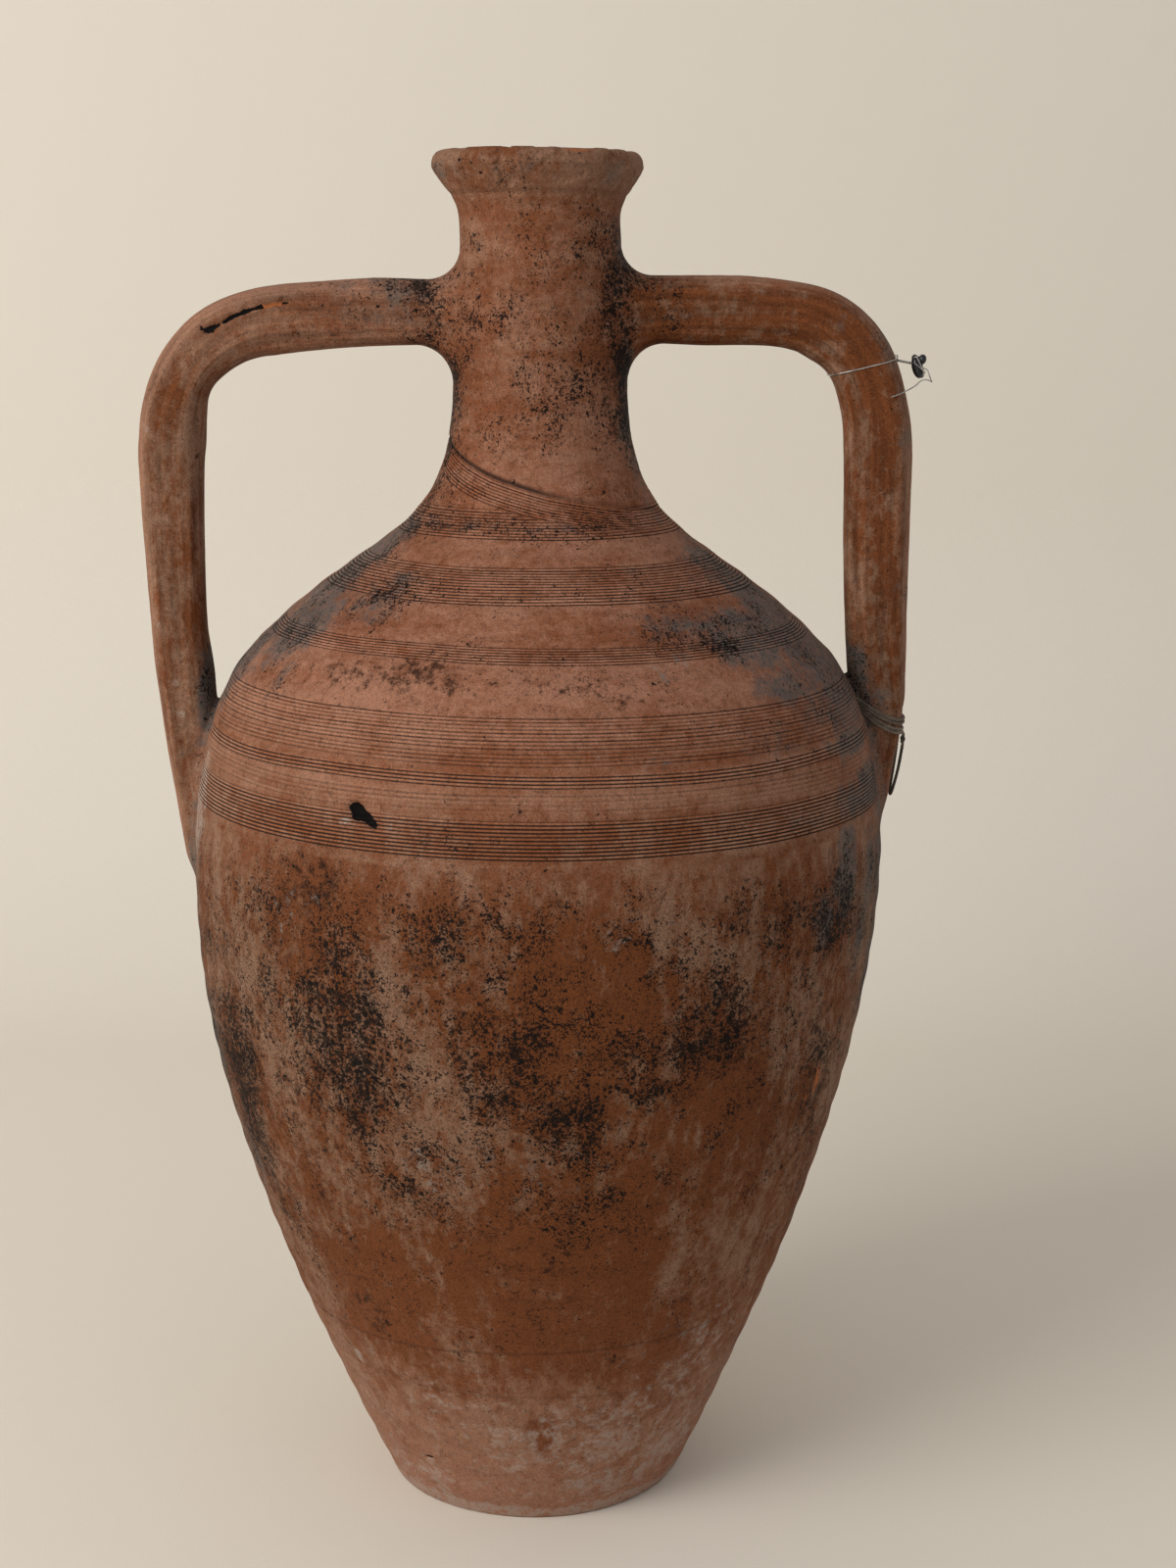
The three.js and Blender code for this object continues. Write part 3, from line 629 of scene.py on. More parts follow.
def wall_slope(height):
    return (wall_radius(height + MM) - wall_radius(height - MM)) / (2 * MM)


def way_at(height):
    return np.interp(height, outline[:, 1], outline_way)


def height_at(way):
    return np.interp(way, outline_way, outline[:, 1])


WANDER_HEIGHTS = np.array([0, 120, 240, 360, 480, 600, 650, 700]) * MM
WANDER_SIDEWAYS = np.array([0, -1.1, -1.8, 0.5, 0.3, 0.3, 0, -2.0]) * MM


def wander(height):
    index = np.clip(np.searchsorted(WANDER_HEIGHTS, height) - 1, 0, len(WANDER_HEIGHTS) - 2)
    low, high = WANDER_HEIGHTS[index], WANDER_HEIGHTS[index + 1]
    t = eased(np.clip((height - low) / (high - low), 0, 1))
    return WANDER_SIDEWAYS[index] * (1 - t) + WANDER_SIDEWAYS[index + 1] * t


def turned_about(radius, angle, height):
    """Points on a circle about the upright axis. The angle starts at the front, to the right."""
    height = np.broadcast_to(height, angle.shape)
    return np.stack([radius * np.sin(angle), -radius * np.cos(angle), height], axis=-1)


def half_turn(angle):
    """The same angle, between minus and plus half a turn."""
    return np.angle(np.exp(1j * angle))


print("way up the wall in mm:", round(outline_way[-1] / MM))

# %% [markdown]
# ## Noise that can be asked anywhere
# Hand-made surfaces need irregularity that is the same each time the script runs. This noise
# gives every cell of a 3-D grid a fixed value from its place and a seed, and blends smoothly
# between them, so neighbouring pieces that ask at the same point get the same answer.

# %% Smooth noise in space
CELL_PRIMES = (73856093, 19349663, 83492791)
SEED_PRIME = 40503
STIR = ((15, 2246822519), (13, 3266489917))
WORD = 0xFFFFFFFF


def cell_value(cell, seed):
    """A fixed value from -1 to 1 for each cell: whole numbers, stirred until they look random."""
    x, y, z = (cell[..., axis] * CELL_PRIMES[axis] for axis in range(3))
    stirred = (x ^ y ^ z ^ (seed * SEED_PRIME)) & WORD
    for shift, factor in STIR:
        stirred = ((stirred ^ (stirred >> shift)) * factor) & WORD
    return (stirred ^ (stirred >> 16)) / WORD * 2 - 1


def unevenness(points, size, seed, octaves=1):
    total, share, gain = 0.0, 1.0, 0.0
    for octave in range(octaves):
        spot = points / np.asarray(size) * 2 ** octave + 17.3 * octave
        base = np.floor(spot).astype(np.int64)
        t = eased(spot - base)
        value = 0.0
        for corner in np.ndindex(2, 2, 2):
            weight = np.prod(np.where(corner, t, 1 - t), axis=-1)
            value = value + weight * cell_value(base + np.array(corner), seed + octave)
        total = total + share * value
        gain += share
        share *= 0.5
    return total / gain


# %% [markdown]
# ## Where this jar is stained, chipped and scored
# Smoke from the kiln, soot freckles, umber water stains and pale lime sit in known places. Some
# spots carry painted shade: the smoke at the belly's outline is partly painted shade, and umber
# spots on the right of the neck and round the lip are painted shade. Each is given by the angle
# round the jar from the front (positive to the right), its height, its two half sizes and its
# strength. The unseen back gets marks of the same kinds from a seeded random draw, so the jar
# looks used from every side. Gouges are cut into the wall in the same way.

# %% Stains and damage
# Each spot: angle in degrees, height, half width and half height in mm, strength
FRONT_STAINS = {
    "speckle": [
        (-47, 327, 28, 38, 0.55), (-31, 298, 40, 42, 0.95), (-60, 262, 24, 58, 1.0), (-28, 262, 36, 38, 0.9),
        (-14, 347, 46, 22, 0.5), (-4, 281, 34, 36, 0.8), (5, 254, 42, 30, 0.85), (22, 288, 30, 26, 0.85),
        (31, 287, 26, 24, 0.65), (36, 348, 30, 22, 0.7), (15, 272, 30, 20, 1.0), (-36, 360, 60, 20, 0.35),
        (0, 325, 80, 40, 0.38), (-20, 215, 50, 36, 0.45), (12, 222, 60, 28, 0.42), (-44, 196, 24, 52, 0.6),
        (46, 250, 32, 44, 0.4), (33, 647, 14, 15, 0.28), (7, 563, 17, 18, 0.42), (42, 618, 20, 30, 0.4),
        (0, 600, 40, 60, 0.34), (-78, 588, 18, 30, 0.7), (76, 588, 18, 34, 0.6), (62, 650, 14, 30, 0.3),
        (-20, 458, 46, 10, 0.2), (2, 455, 50, 10, 0.2), (-48, 484, 22, 11, 0.35), (-62, 465, 26, 24, 0.3),
        (30, 470, 30, 11, 0.4), (-60, 520, 22, 20, 0.5), (50, 540, 14, 24, 0.5), (20, 690, 30, 10, 0.1),
        (-10, 560, 30, 12, 0.4), (-50, 140, 24, 50, 0.35),
    ],
    "smoke_and_shade": [
        (-66, 470, 32, 22, 1.2), (-80, 452, 46, 30, 1.2), (72, 452, 46, 30, 1.3), (50, 448, 26, 9, 1.1),
        (47, 463, 22, 6, 1.1), (64, 416, 32, 8, 1.3), (62, 390, 30, 11, 1.3), (58, 370, 14, 12, 1.1),
        (50, 334, 12, 20, 0.9), (0, 690, 300, 10, 0.35), (51, 469, 32, 15, 1.3), (39, 476, 26, 9, 0.7),
        (57, 352, 20, 26, 0.8), (63, 316, 15, 30, 0.85), (76, 300, 26, 110, 0.75), (84, 400, 26, 60, 0.7),
        (-55, 450, 14, 20, 0.45), (-74, 250, 24, 60, 0.8), (-66, 196, 13, 50, 0.65), (66, 440, 18, 30, 0.65),
        (46, 386, 24, 9, 0.55), (70, 392, 50, 12, 1.1), (-19, 390, 60, 8, 0.2), (74, 560, 20, 40, 0.65),
        (80, 640, 12, 36, 0.7), (-72, 690, 16, 9, 0.5), (46, 688, 15, 12, 0.6), (0, 519, 160, 4, 0.4),
        (10, 500, 200, 3, 0.3), (-40, 495, 20, 6, 0.6), (70, 180, 14, 60, 0.5), (70, 520, 30, 20, 0.5),
        (-30, 686, 40, 8, 0.35), (72, 480, 36, 34, 1.2), (62, 436, 36, 40, 0.9), (42, 424, 34, 14, 0.5),
        (-76, 492, 26, 34, 1.2), (-84, 440, 18, 44, 1.1), (62, 70, 30, 46, 0.6), (-46, 484, 30, 14, 0.6),
        # (-84, 240) and (84, 270) darken the belly's outline where the wall turns away: partly smoke, partly
        # painted shade.
        (34, 476, 40, 16, 0.55), (-84, 240, 32, 150, 1.2), (84, 270, 34, 150, 1.2), (74, 620, 14, 70, 0.6),
        (-80, 560, 16, 50, 0.5), (68, 345, 22, 36, 0.7), (-86, 330, 16, 60, 0.7), (62, 396, 40, 14, 0.6),
    ],
    "rust_and_shade": [
        (-36, 360, 42, 24, 0.8), (-4, 361, 60, 15, 0.55), (36, 345, 34, 32, 0.75), (30, 300, 50, 60, 0.6),
        (2, 180, 80, 60, 0.5), (-26, 200, 50, 60, 0.5), (-55, 655, 6, 5, 0.85), (-26, 456, 60, 10, 0.95),
        (8, 453, 50, 10, 0.9), (-28, 383, 20, 9, 0.2), (10, 300, 90, 60, 0.4), (-50, 300, 60, 70, 0.45),
        (-10, 130, 60, 34, 0.45), (34, 110, 30, 30, 0.4), (40, 200, 40, 60, 0.45), (-36, 421, 26, 7, 0.5),
        (22, 421, 30, 6, 0.45), (-25, 500, 20, 6, 0.3), (-74, 260, 36, 90, 0.85), (-58, 205, 30, 80, 0.85),
        (74, 300, 40, 100, 0.75), (60, 225, 40, 80, 0.7), (-40, 250, 40, 50, 0.7), (0, 250, 60, 50, 0.6),
        (20, 330, 60, 30, 0.5), (-20, 340, 50, 24, 0.5), (30, 280, 40, 30, 0.75), (54, 280, 44, 90, 0.8),
        # (66, 620) is painted shade on the shaded right side of the neck.
        (66, 620, 22, 50, 0.8), (50, 575, 24, 30, 0.6), (72, 590, 16, 50, 0.6), (-66, 560, 16, 40, 0.5),
        # (0, 692), a band all round the lip, is painted shade on the lip.
        (0, 692, 300, 8, 0.12), (-10, 495, 140, 8, 0.4), (0, 520, 160, 7, 0.4), (-44, 390, 60, 9, 0.2),
        (40, 390, 60, 9, 0.4), (-60, 466, 30, 14, 0.5), (-36, 128, 14, 26, 0.8), (34, 138, 12, 30, 0.8),
        (-52, 112, 20, 30, 0.6), (-44, 486, 30, 12, 0.55), (30, 474, 34, 14, 0.5),
    ],
    "pale": [
        (-75, 384, 20, 30, 1.5), (-69, 397, 9, 14, 0.6), (2, 230, 36, 17, 0.32), (-18, 226, 26, 20, 0.45),
        (41, 88, 40, 26, 0.5), (52, 58, 40, 22, 0.55), (-49, 92.5, 3, 5, 1.6), (-13, 101, 1.2, 8, 0.9),
        (-7, 92, 1.2, 6, 0.8), (-22, 52, 2, 4, 0.9), (0, 3, 300, 6, 1.3), (-30, 26, 50, 16, 0.4),
        (15, 420, 30, 18, 0.25), (-40, 342, 30, 20, 0.3), (12, 342, 40, 18, 0.28), (50, 40, 34, 30, 0.7),
        (-45, 24, 50, 18, 0.8), (20, 22, 60, 16, 0.6), (10, 60, 300, 44, 0.5), (48, 110, 40, 30, 0.6),
        (28, 460, 26, 8, 0.4), (-30.5, 392.6, 6, 2.2, 1.0), (-22.6, 392.6, 2, 2.6, 0.5),
        (-72, 486, 14, 6, 0.45), (60, 380, 30, 16, 0.35),
    ],
    "ochre": [
        (1.5, 64, 7, 12, 1.7), (6, 300, 50, 60, 0.9), (4, 170, 66, 64, 1.0), (-34, 345, 40, 24, 0.5),
        (26, 120, 40, 40, 0.6), (28, 250, 44, 60, 0.7), (-12, 330, 30, 30, 0.5), (-30, 150, 40, 50, 0.5),
        (40, 350, 40, 30, 0.5),
    ],
    "fresh": [
        (56, 249, 2.6, 10, 1.0), (53.4, 238, 1.8, 8, 0.9), (24, 698.6, 12, 1.3, 0.8), (-17, 690, 6, 9, 0.35),
        (31, 356, 3, 1.2, 0.6), (61, 365, 1.5, 7, 0.6),
    ],
}
GOUGES = [
    # angle, height, half width, half height, depth, tilt in degrees, how black
    (-28.7, 397.8, 6.8, 4.2, 3.6, -34, 1.0), (-26.3, 394.0, 6.6, 2.9, 2.6, -38, 1.0),
    (-35.3, 34.6, 4.5, 1.6, 1.6, 10, 0.8), (-29, 38, 1.6, 3.5, 1.0, 30, 0.0),
    (-82, 690, 2.0, 1.4, 1.2, 0, 0.5), (-46, 694, 1.2, 0.9, 1.0, 0, 1.0), (-34, 687, 1.4, 1.0, 0.9, 0, 0.8),
    (48, 690, 9, 5, 0.9, 20, 0.0), (72, 643, 3.0, 2.6, -2.4, 0, 0.9), (62, 300, 7, 14, 0.5, 5, 0.0),
    (14, 350, 2.4, 1.6, 0.6, 0, 0.0),
]


def back_stains(seed=11, count=15):
    draw = np.random.default_rng(seed)
    made = {name: [] for name in FRONT_STAINS}
    for name in ("speckle", "smoke_and_shade", "rust_and_shade", "pale", "ochre"):
        for _ in range(count):
            made[name].append((draw.uniform(98, 262), draw.uniform(40, 500), draw.uniform(18, 60),
                               draw.uniform(14, 60), draw.uniform(0.3, 0.85)))
        made[name].append((draw.uniform(120, 240), draw.uniform(540, 660), 20, 24, 0.5))
    made["pale"].append((180, 5, 400, 5, 0.7))
    return made


STAINS = {name: FRONT_STAINS[name] + extra for name, extra in back_stains().items()}
print("stains:", {name: len(spots) for name, spots in STAINS.items()}, "gouges:", len(GOUGES))


def spot_distance(angle, height, radius, spot, tilt=0):
    """How far points lie from the middle of a spot on the wall, counted in its half sizes."""
    spot_angle, spot_height, half_width, half_height = spot
    across = half_turn(angle - math.radians(spot_angle)) * radius / MM
    rise = (height - spot_height * MM) / MM
    turn = math.radians(tilt)
    along = across * math.cos(turn) + rise * math.sin(turn)
    beside = rise * math.cos(turn) - across * math.sin(turn)
    return np.hypot(along / half_width, beside / half_height)


def stain_masks(angle, height, points):
    """How strong each kind of stain is at each point, from 0 to 1."""
    radius = np.maximum(np.hypot(points[..., 0], points[..., 1]), 0.02)
    ragged = unevenness(points, (0.013, 0.013, 0.036), 31, 3) * 0.55 + unevenness(points, 0.05, 37) * 0.35
    masks = {}
    for name, spots in STAINS.items():
        mask = np.zeros(angle.shape)
        for *spot, strength in spots:
            apart = spot_distance(angle, height, radius, spot)
            mask = np.maximum(mask, strength * np.exp(-apart ** 2) * (1 + ragged))
        masks[name] = np.clip(mask, 0, 1)
    return masks


def gouge_marks(angle, height, points):
    """Depth cut into the wall, in metres, and how black each point is."""
    radius = np.maximum(np.hypot(points[..., 0], points[..., 1]), 0.02)
    rough = 1 + 0.5 * unevenness(points, 0.005, 41, 2)
    depth, black = np.zeros(angle.shape), np.zeros(angle.shape)
    for *spot, deep, tilt, dark in GOUGES:
        apart = spot_distance(angle, height, radius, spot, tilt) * rough
        cut = eased(np.clip(1.25 - apart, 0, 1))
        depth = depth + deep * MM * cut
        black = np.maximum(black, dark * np.clip(cut * 1.6 - 0.35, 0, 1))
    return depth, black


# %% How the clay changes from the foot to the lip
# Each table gives heights in mm, and the value at each of them.
TONE = ([0, 40, 110, 170, 340, 385, 450, 540, 600, 670, 690],
        [0.75, 0.6, 0.32, 0.08, 0.03, 0.35, 0.95, 0.85, 0.5, 0.5, 0.2])
WARM = ([0, 60, 110, 180, 320, 390, 430, 520, 670, 690],
        [0, 0.16, 0.46, 0.52, 0.42, 0.5, 0.42, 0.5, 0.6, 0.35])
PEPPER = ([0, 60, 200, 350, 385, 500, 540, 600, 660, 690],
          [0.05, 0.1, 0.45, 0.5, 0.2, 0.28, 0.4, 0.5, 0.52, 0.34])
STREAKS = ([0, 60, 250, 360, 374, 375, 400, 520, 700],
           [0.1, 0.16, 0.1, 0.04, 0, 0, 0.08, 0.14, 0.14])


def wall_tone(height):
    """How far the clay has the paler colour of the shoulder and the foot instead of the belly's."""
    return np.interp(height / MM, *TONE)


def wall_warm(height, warm_spots):
    """How far the clay leans to its warm colour; the rest is dusty."""
    return np.clip(np.interp(height / MM, *WARM) + 0.85 * warm_spots, 0, 1)


def wall_pepper(height, points):
    """How thick the fine dark flecks lie on the wall."""
    return np.clip(np.interp(height / MM, *PEPPER) + 0.35 * unevenness(points, 0.03, 91, 2), 0, 1)


# %% [markdown]
# ## Marks of the potter's hands on the wall
# On the wheel, the fingers leave a shallow spiral of ridges about 20 mm apart. The lower wall was
# scraped upwards when it was leather-hard, the join of two thrown sections was scored with a
# point, and a slip of the tool cut one spiral groove round the root of the neck. All of these move
# the surface by about a millimetre at most, and the outline shows them.

# %% The hand's marks as small depths
SCORED_LINES = [
    # height at the left, front and right, depth, half width and how far it sways, all in mm
    ((109.6, 116.7, 121), 0.45, 0.75, 1.2),
    ((86, 89, 85), 0.28, 0.6, 1.2),
    ((152, 150, 155), 0.16, 0.6, 1.2),
    ((679.5, 679.5, 679.5), 0.22, 1.3, 0.2),
]
SPIRAL_ANGLES = np.radians([-150, -77, -28.5, 4.7, 35, 62, 100])
SPIRAL_HEIGHTS = np.array([572, 557.9, 543.3, 534.7, 529.5, 526.5, 524]) * MM
RIDGE_SPACING = 21 * MM


def scored_depth(angle, height):
    depth = np.zeros(angle.shape)
    fade = np.where(np.cos(angle) > -0.7, 1, 0.4)
    for heights, deep, half, sway in SCORED_LINES:
        line = np.interp(np.sin(angle), [-1, 0, 1], heights) + sway * np.sin(2 * angle + heights[0])
        depth += deep * MM * np.exp(-((height / MM - line) / half) ** 2) * fade
    return depth


def spiral_marks(angle, height):
    """Depth of the spiral groove and of the step below it, and the dirt in the groove."""
    line = np.interp(angle, SPIRAL_ANGLES, SPIRAL_HEIGHTS)
    starts = np.clip((angle - SPIRAL_ANGLES[0]) * 2, 0, 1)
    within = starts * np.clip((SPIRAL_ANGLES[-1] - angle) * 2, 0, 1)
    below = np.clip((line - height) / MM, -4, 4)
    groove = np.exp(-((height - line) / MM / 1.1) ** 2) * 0.8
    step = 0.35 / (1 + np.exp(-below * 1.8)) * np.exp(-np.abs(below) / 4)
    dirt = within * groove * 1.3 * np.clip((math.radians(30) - angle) / 0.6, 0.3, 1)
    return within * (groove + step) * MM, dirt


def hand_marks(angle, height, points):
    """Depth below the true outline, in metres, and the two masks that it leaves."""
    flat_angle = half_turn(angle)
    turns = way_at(height) / RIDGE_SPACING + flat_angle / math.tau
    soft = np.clip((0.6 - height) / 0.1, 0.35, 1)
    ridges = 0.22 * MM * np.sin(math.tau * turns + 1.2 * unevenness(points, 0.08, 3)) * soft
    hollows = 0.8 * MM * unevenness(points, 0.085, 5) * soft + 0.22 * MM * unevenness(points, 0.022, 7, 2)
    scraped = np.clip((0.30 - height) / 0.15, 0, 1) * 0.14 * MM
    scraped = scraped * unevenness(points, (0.006, 0.006, 0.07), 9, 2)
    wiped = 0.05 * MM * unevenness(points, (0.05, 0.05, 0.0016), 13)
    pores = 0.16 * MM * np.clip(unevenness(points, 0.004, 15, 2) - 0.35, 0, 1)
    cut, black = gouge_marks(angle, height, points)
    score = scored_depth(flat_angle, height)
    spiral, spiral_dirt = spiral_marks(flat_angle, height)
    dirt = np.clip(score / (0.5 * MM), 0, 1) * 0.42 + spiral_dirt
    depth = ridges + hollows + scraped + wiped + pores + cut + score + spiral
    return depth, black, np.clip(dirt, 0, 1)


# %% [markdown]
# ## Turned pieces
# A turned piece is a closed outline carried round the axis, in rows up the wall and columns round
# it. All pieces of the wall use the same columns, so the edge of one lies exactly on the edge of
# the next. Each point also stores its way up the wall and its outward direction, which the comb
# tree reads later. The rings at a joint are marked sharp, so the outside stays smooth up to them.

# %% Points, faces and stored values of a turned piece
COLUMNS = 576
BELLY_TOP = 0.3745
INNER_RIDGE_SPACING = 16 * MM


def streak_places(points, height):
    """Where the streaks are read: drawn out upwards on the belly, and round the jar above it."""
    upwards = points * (1, 1, 0.14)
    around = points / np.hypot(points[..., :1], points[..., 1:2]) * 0.01
    around[..., 2] = height
    return np.where(height[..., None] < BELLY_TOP, upwards, around)


def wall_values(angle, height, ring, skin):
    """What the clay material and the comb tree read at each point of the wall."""
    masks = stain_masks(angle, height, ring)
    warm = wall_warm(height, masks.pop("ochre"))
    values = {name: mask * np.clip(skin, 0.25, 1) for name, mask in masks.items()}
    flat_angle = half_turn(angle)
    beside = (flat_angle > math.radians(-100)) & (flat_angle < math.radians(48))
    from_spiral = way_at(height) - way_at(np.interp(flat_angle, SPIRAL_ANGLES, SPIRAL_HEIGHTS))
    return values | {
        "tone": wall_tone(height), "warm": warm, "pepper": wall_pepper(height, ring) * skin,
        "pull": streak_places(ring, height), "pulled": np.interp(height / MM, *STREAKS),
        "way": way_at(height), "from_spiral": np.where(beside, from_spiral, 1.0), "skin": skin,
    }


def turned_piece(name, radii, heights, outside, outward, closed=True):
    """A closed outline of rings, carried round the axis and marked by hand on its outside."""
    shape = (len(radii), COLUMNS)
    angle = np.broadcast_to(np.linspace(0, math.tau, COLUMNS, endpoint=False), shape)
    height = np.broadcast_to(heights[:, None], shape)
    ring = turned_about(radii[:, None], angle, height)
    out = turned_about(outward[:, :1], angle, outward[:, 1:])
    depth, black, dirt = hand_marks(angle, height, ring)
    skin = outside[:, None]
    inner_ridges = np.sin(math.tau * way_at(height) / INNER_RIDGE_SPACING + angle)
    inner = 0.5 * MM * inner_ridges + 0.3 * MM * unevenness(ring, 0.03, 51)
    points = ring - out * (depth * skin + inner * (1 - skin))[..., None]
    points[..., 0] += wander(height)
    points[..., 2] = np.maximum(points[..., 2], 0)
    places = points.reshape(-1, 3)
    if not closed:
        places = np.vstack([places, points[0].mean(axis=0), points[-1].mean(axis=0)])
    mesh = mesh_from(name, places, tube_faces(len(radii), COLUMNS, closed))
    values = wall_values(angle, height, ring, skin)
    store_on_points(mesh, shape, values | {"dark": black * skin, "groove": dirt * skin, "outward": out})
    return place(mesh, CLAY)


def mark_sharp(thing, sharp_rows):
    """Keeps the corners of an outline crisp: edges that run round the jar on these rows."""
    mesh = thing.data
    ends = np.empty(len(mesh.edges) * 2, dtype=np.int64)
    mesh.edges.foreach_get("vertices", ends)
    rows = ends.reshape(-1, 2) // COLUMNS
    sharp = (rows[:, 0] == rows[:, 1]) & np.isin(rows[:, 0], sharp_rows)
    mesh.attributes.new("sharp_edge", "BOOLEAN", "EDGE").data.foreach_set("value", sharp)


def wall_section(name, low, high, rows, inner_rows, node):
    """One ring of the thrown wall between two heights, in mm."""
    outside_heights = height_at(np.linspace(way_at(low * MM), way_at(high * MM), rows + 1))
    inside_heights = np.linspace(high * MM, low * MM, inner_rows + 1)
    inside_radii = wall_radius(inside_heights) - WALL * np.hypot(1, wall_slope(inside_heights))
    radii = np.concatenate([wall_radius(outside_heights), inside_radii])
    heights = np.concatenate([outside_heights, inside_heights])
    outside = np.concatenate([np.ones(rows + 1), np.zeros(inner_rows + 1)])
    slope = wall_slope(heights)
    outward = np.stack([np.ones(len(slope)), -slope], axis=1) / np.hypot(1, slope)[:, None]
    made = turned_piece(name, radii, heights, outside, outward)
    mark_sharp(made, [0, rows, rows + 1, len(radii) - 1])
    return hand_over(made, "jar", "clay", node)


# %% [markdown]
# ## Throwing the wall
# The wall of each CAD section becomes one or more rings of fine mesh. The combed shoulder needs
# rows of about 0.45 mm to carry grooves that are 1.9 mm apart, the plain belly only about 1 mm, so
# the sections are split where the work changes. Every piece stays below 200 000 triangles.

# %% The sections of the wall
SECTIONS = [
    # name, from and to height in mm, rows outside and inside, CAD node
    ("foot_wall", 14, 116, 120, 10, "lower_wall"),
    ("belly_low", 116, 232, 132, 10, "belly_wall"),
    ("belly_high", 232, 374, 140, 10, "belly_wall"),
    ("combed_low", 374, 424, 134, 8, "shoulder_wall"),
    ("combed_high", 424, 474, 136, 8, "shoulder_wall"),
    ("shoulder_top", 474, 516, 138, 8, "shoulder_wall"),
    ("neck_root", 516, 562, 110, 8, "neck_wall"),
    ("neck_top", 562, 679, 134, 10, "neck_wall"),
]
wall = {section[0]: wall_section(*section) for section in SECTIONS}
print("wall faces:", sum(len(piece.data.polygons) for piece in wall.values()))

# %% [markdown]
# ## Combed bands
# While the jar turned, a toothed comb was held to the soft clay. Each pass left a band of parallel
# grooves that sway a little and fade where the pressure eased. The grooves repeat by a rule, so a
# Geometry Nodes tree cuts them: it reads each point's way up the wall, finds its place between two
# teeth, and pushes it in along the stored outward direction. One modifier is one pass of the comb.


# %% Geometry Nodes: one pass of the comb
def comb_tree():
    first_values = {"Geometry": "Geometry", "From": 0.0, "To": 0.1, "Pitch": 0.0019, "Depth": 0.0004,
                    "Sway": 0.001, "Breaks": 0.35, "Follow": 0.0, "Seed": 0, "Material": "Material"}
    tree, given = new_tree("comb_pass", "GeometryNodeTree", first_values, {"Geometry": "Geometry"})

    def stored(name, kind="FLOAT"):
        return value_of(tree, "GeometryNodeInputNamedAttribute", {"Name": name}, data_type=kind)

    def seeded_noise(at, scale, detail):
        inputs = {"Vector": at, "W": given["Seed"] * 3.7, "Scale": scale, "Detail": detail}
        return value_of(tree, "ShaderNodeTexNoise", inputs, noise_dimensions="4D")

    spot = value_of(tree, "GeometryNodeInputPosition")
    sway = seeded_noise(spot, 7.0, 1.0).centred(given["Sway"])
    follow = given["Follow"]
    way = stored("way") * (1.0 - follow) + stored("from_spiral") * follow + sway * 2.0
    tooth = (way - given["From"]) / given["Pitch"]
    from_groove = (tooth.maths("FRACT") * 2.0 - 1.0).maths("ABSOLUTE")
    groove = (1.0 - from_groove).smooth(0.42, 0.95)
    edge = given["Pitch"] * 0.5
    rising = ((way - given["From"]) / edge).clamped()
    falling = ((given["To"] - way) / edge).clamped()
    reach = rising * falling * stored("skin")
    limits = {"Min": 0.55, "Max": 1.1, "ID": tooth.maths("FLOOR"), "Seed": given["Seed"]}
    press = value_of(tree, "FunctionNodeRandomValue", limits, 1, data_type="FLOAT")
    parts = add_node(tree, "ShaderNodeSeparateXYZ", {0: spot})
    along_tooth = {0: parts.outputs[0], 1: parts.outputs[1], 2: tooth * 0.11}
    drawn = value_of(tree, "ShaderNodeCombineXYZ", along_tooth)
    contact = seeded_noise(drawn, 15.0, 3.0).smooth(given["Breaks"] - 0.12, given["Breaks"] + 0.16)
    pressed = press * contact * reach * given["Depth"]

    within = reach.maths("GREATER_THAN", 0.0)
    counted = tooth * within + stored("tooth") * (1.0 - within)
    marked = given["Geometry"]
    for name, value in (("tooth", counted), ("comb", stored("comb").maths("MAXIMUM", pressed * 2000.0))):
        inputs = {"Geometry": marked, "Name": name, "Value": value}
        marked = value_of(tree, "GeometryNodeStoreNamedAttribute", inputs, data_type="FLOAT", domain="POINT")
    outward = stored("outward", "FLOAT_VECTOR")
    push = vector_maths(tree, "SCALE", {0: outward, "Scale": groove * pressed * -1.0})
    cut = value_of(tree, "GeometryNodeSetPosition", {"Geometry": marked, "Offset": push})
    return end_tree(tree, cut, given["Material"])


COMB = comb_tree()

# %% Comb the shoulder and the root of the neck
COMB_PASSES = [
    # from and to height, pitch, depth and sway in mm, and how much breaks
    (379.5, 398.0, 1.75, 0.62, 1.2, 0.18),
    (399.5, 410.5, 2.10, 0.22, 2.4, 0.44),
    (411.5, 418.5, 1.70, 0.60, 3.4, 0.22),
    (421.0, 428.0, 1.90, 0.28, 2.0, 0.38),
    (428.0, 442.5, 1.80, 0.38, 1.6, 0.33),
    (463.5, 471.0, 1.60, 0.55, 5.0, 0.26),
    (487.0, 503.0, 2.00, 0.60, 2.6, 0.20),
    (514.0, 528.0, 1.80, 0.55, 2.0, 0.28),
]
# The slanted pass follows the spiral groove, so its limits are mm above the groove
SLANTED_PASS = (-15, -1, 1.6, 0.5, 1.0, 0.28)
COMBED = ("belly_high", "combed_low", "combed_high", "shoulder_top", "neck_root")


def comb_pass(thing, low, high, shape, seed, follow):
    pitch, depth, sway, breaks = shape
    run_tree(thing, COMB, {"From": low, "To": high, "Pitch": pitch * MM, "Depth": depth * MM,
                           "Sway": sway * MM, "Breaks": breaks, "Follow": follow, "Seed": seed,
                           "Material": CLAY})


for name in COMBED:
    for seed, (low, high, *shape) in enumerate(COMB_PASSES):
        comb_pass(wall[name], float(way_at(low * MM)), float(way_at(high * MM)), shape, seed, 0.0)
    if name == "neck_root":
        low, high, *shape = SLANTED_PASS
        comb_pass(wall[name], low * MM, high * MM, shape, 9, 1.0)
    settle(wall[name])

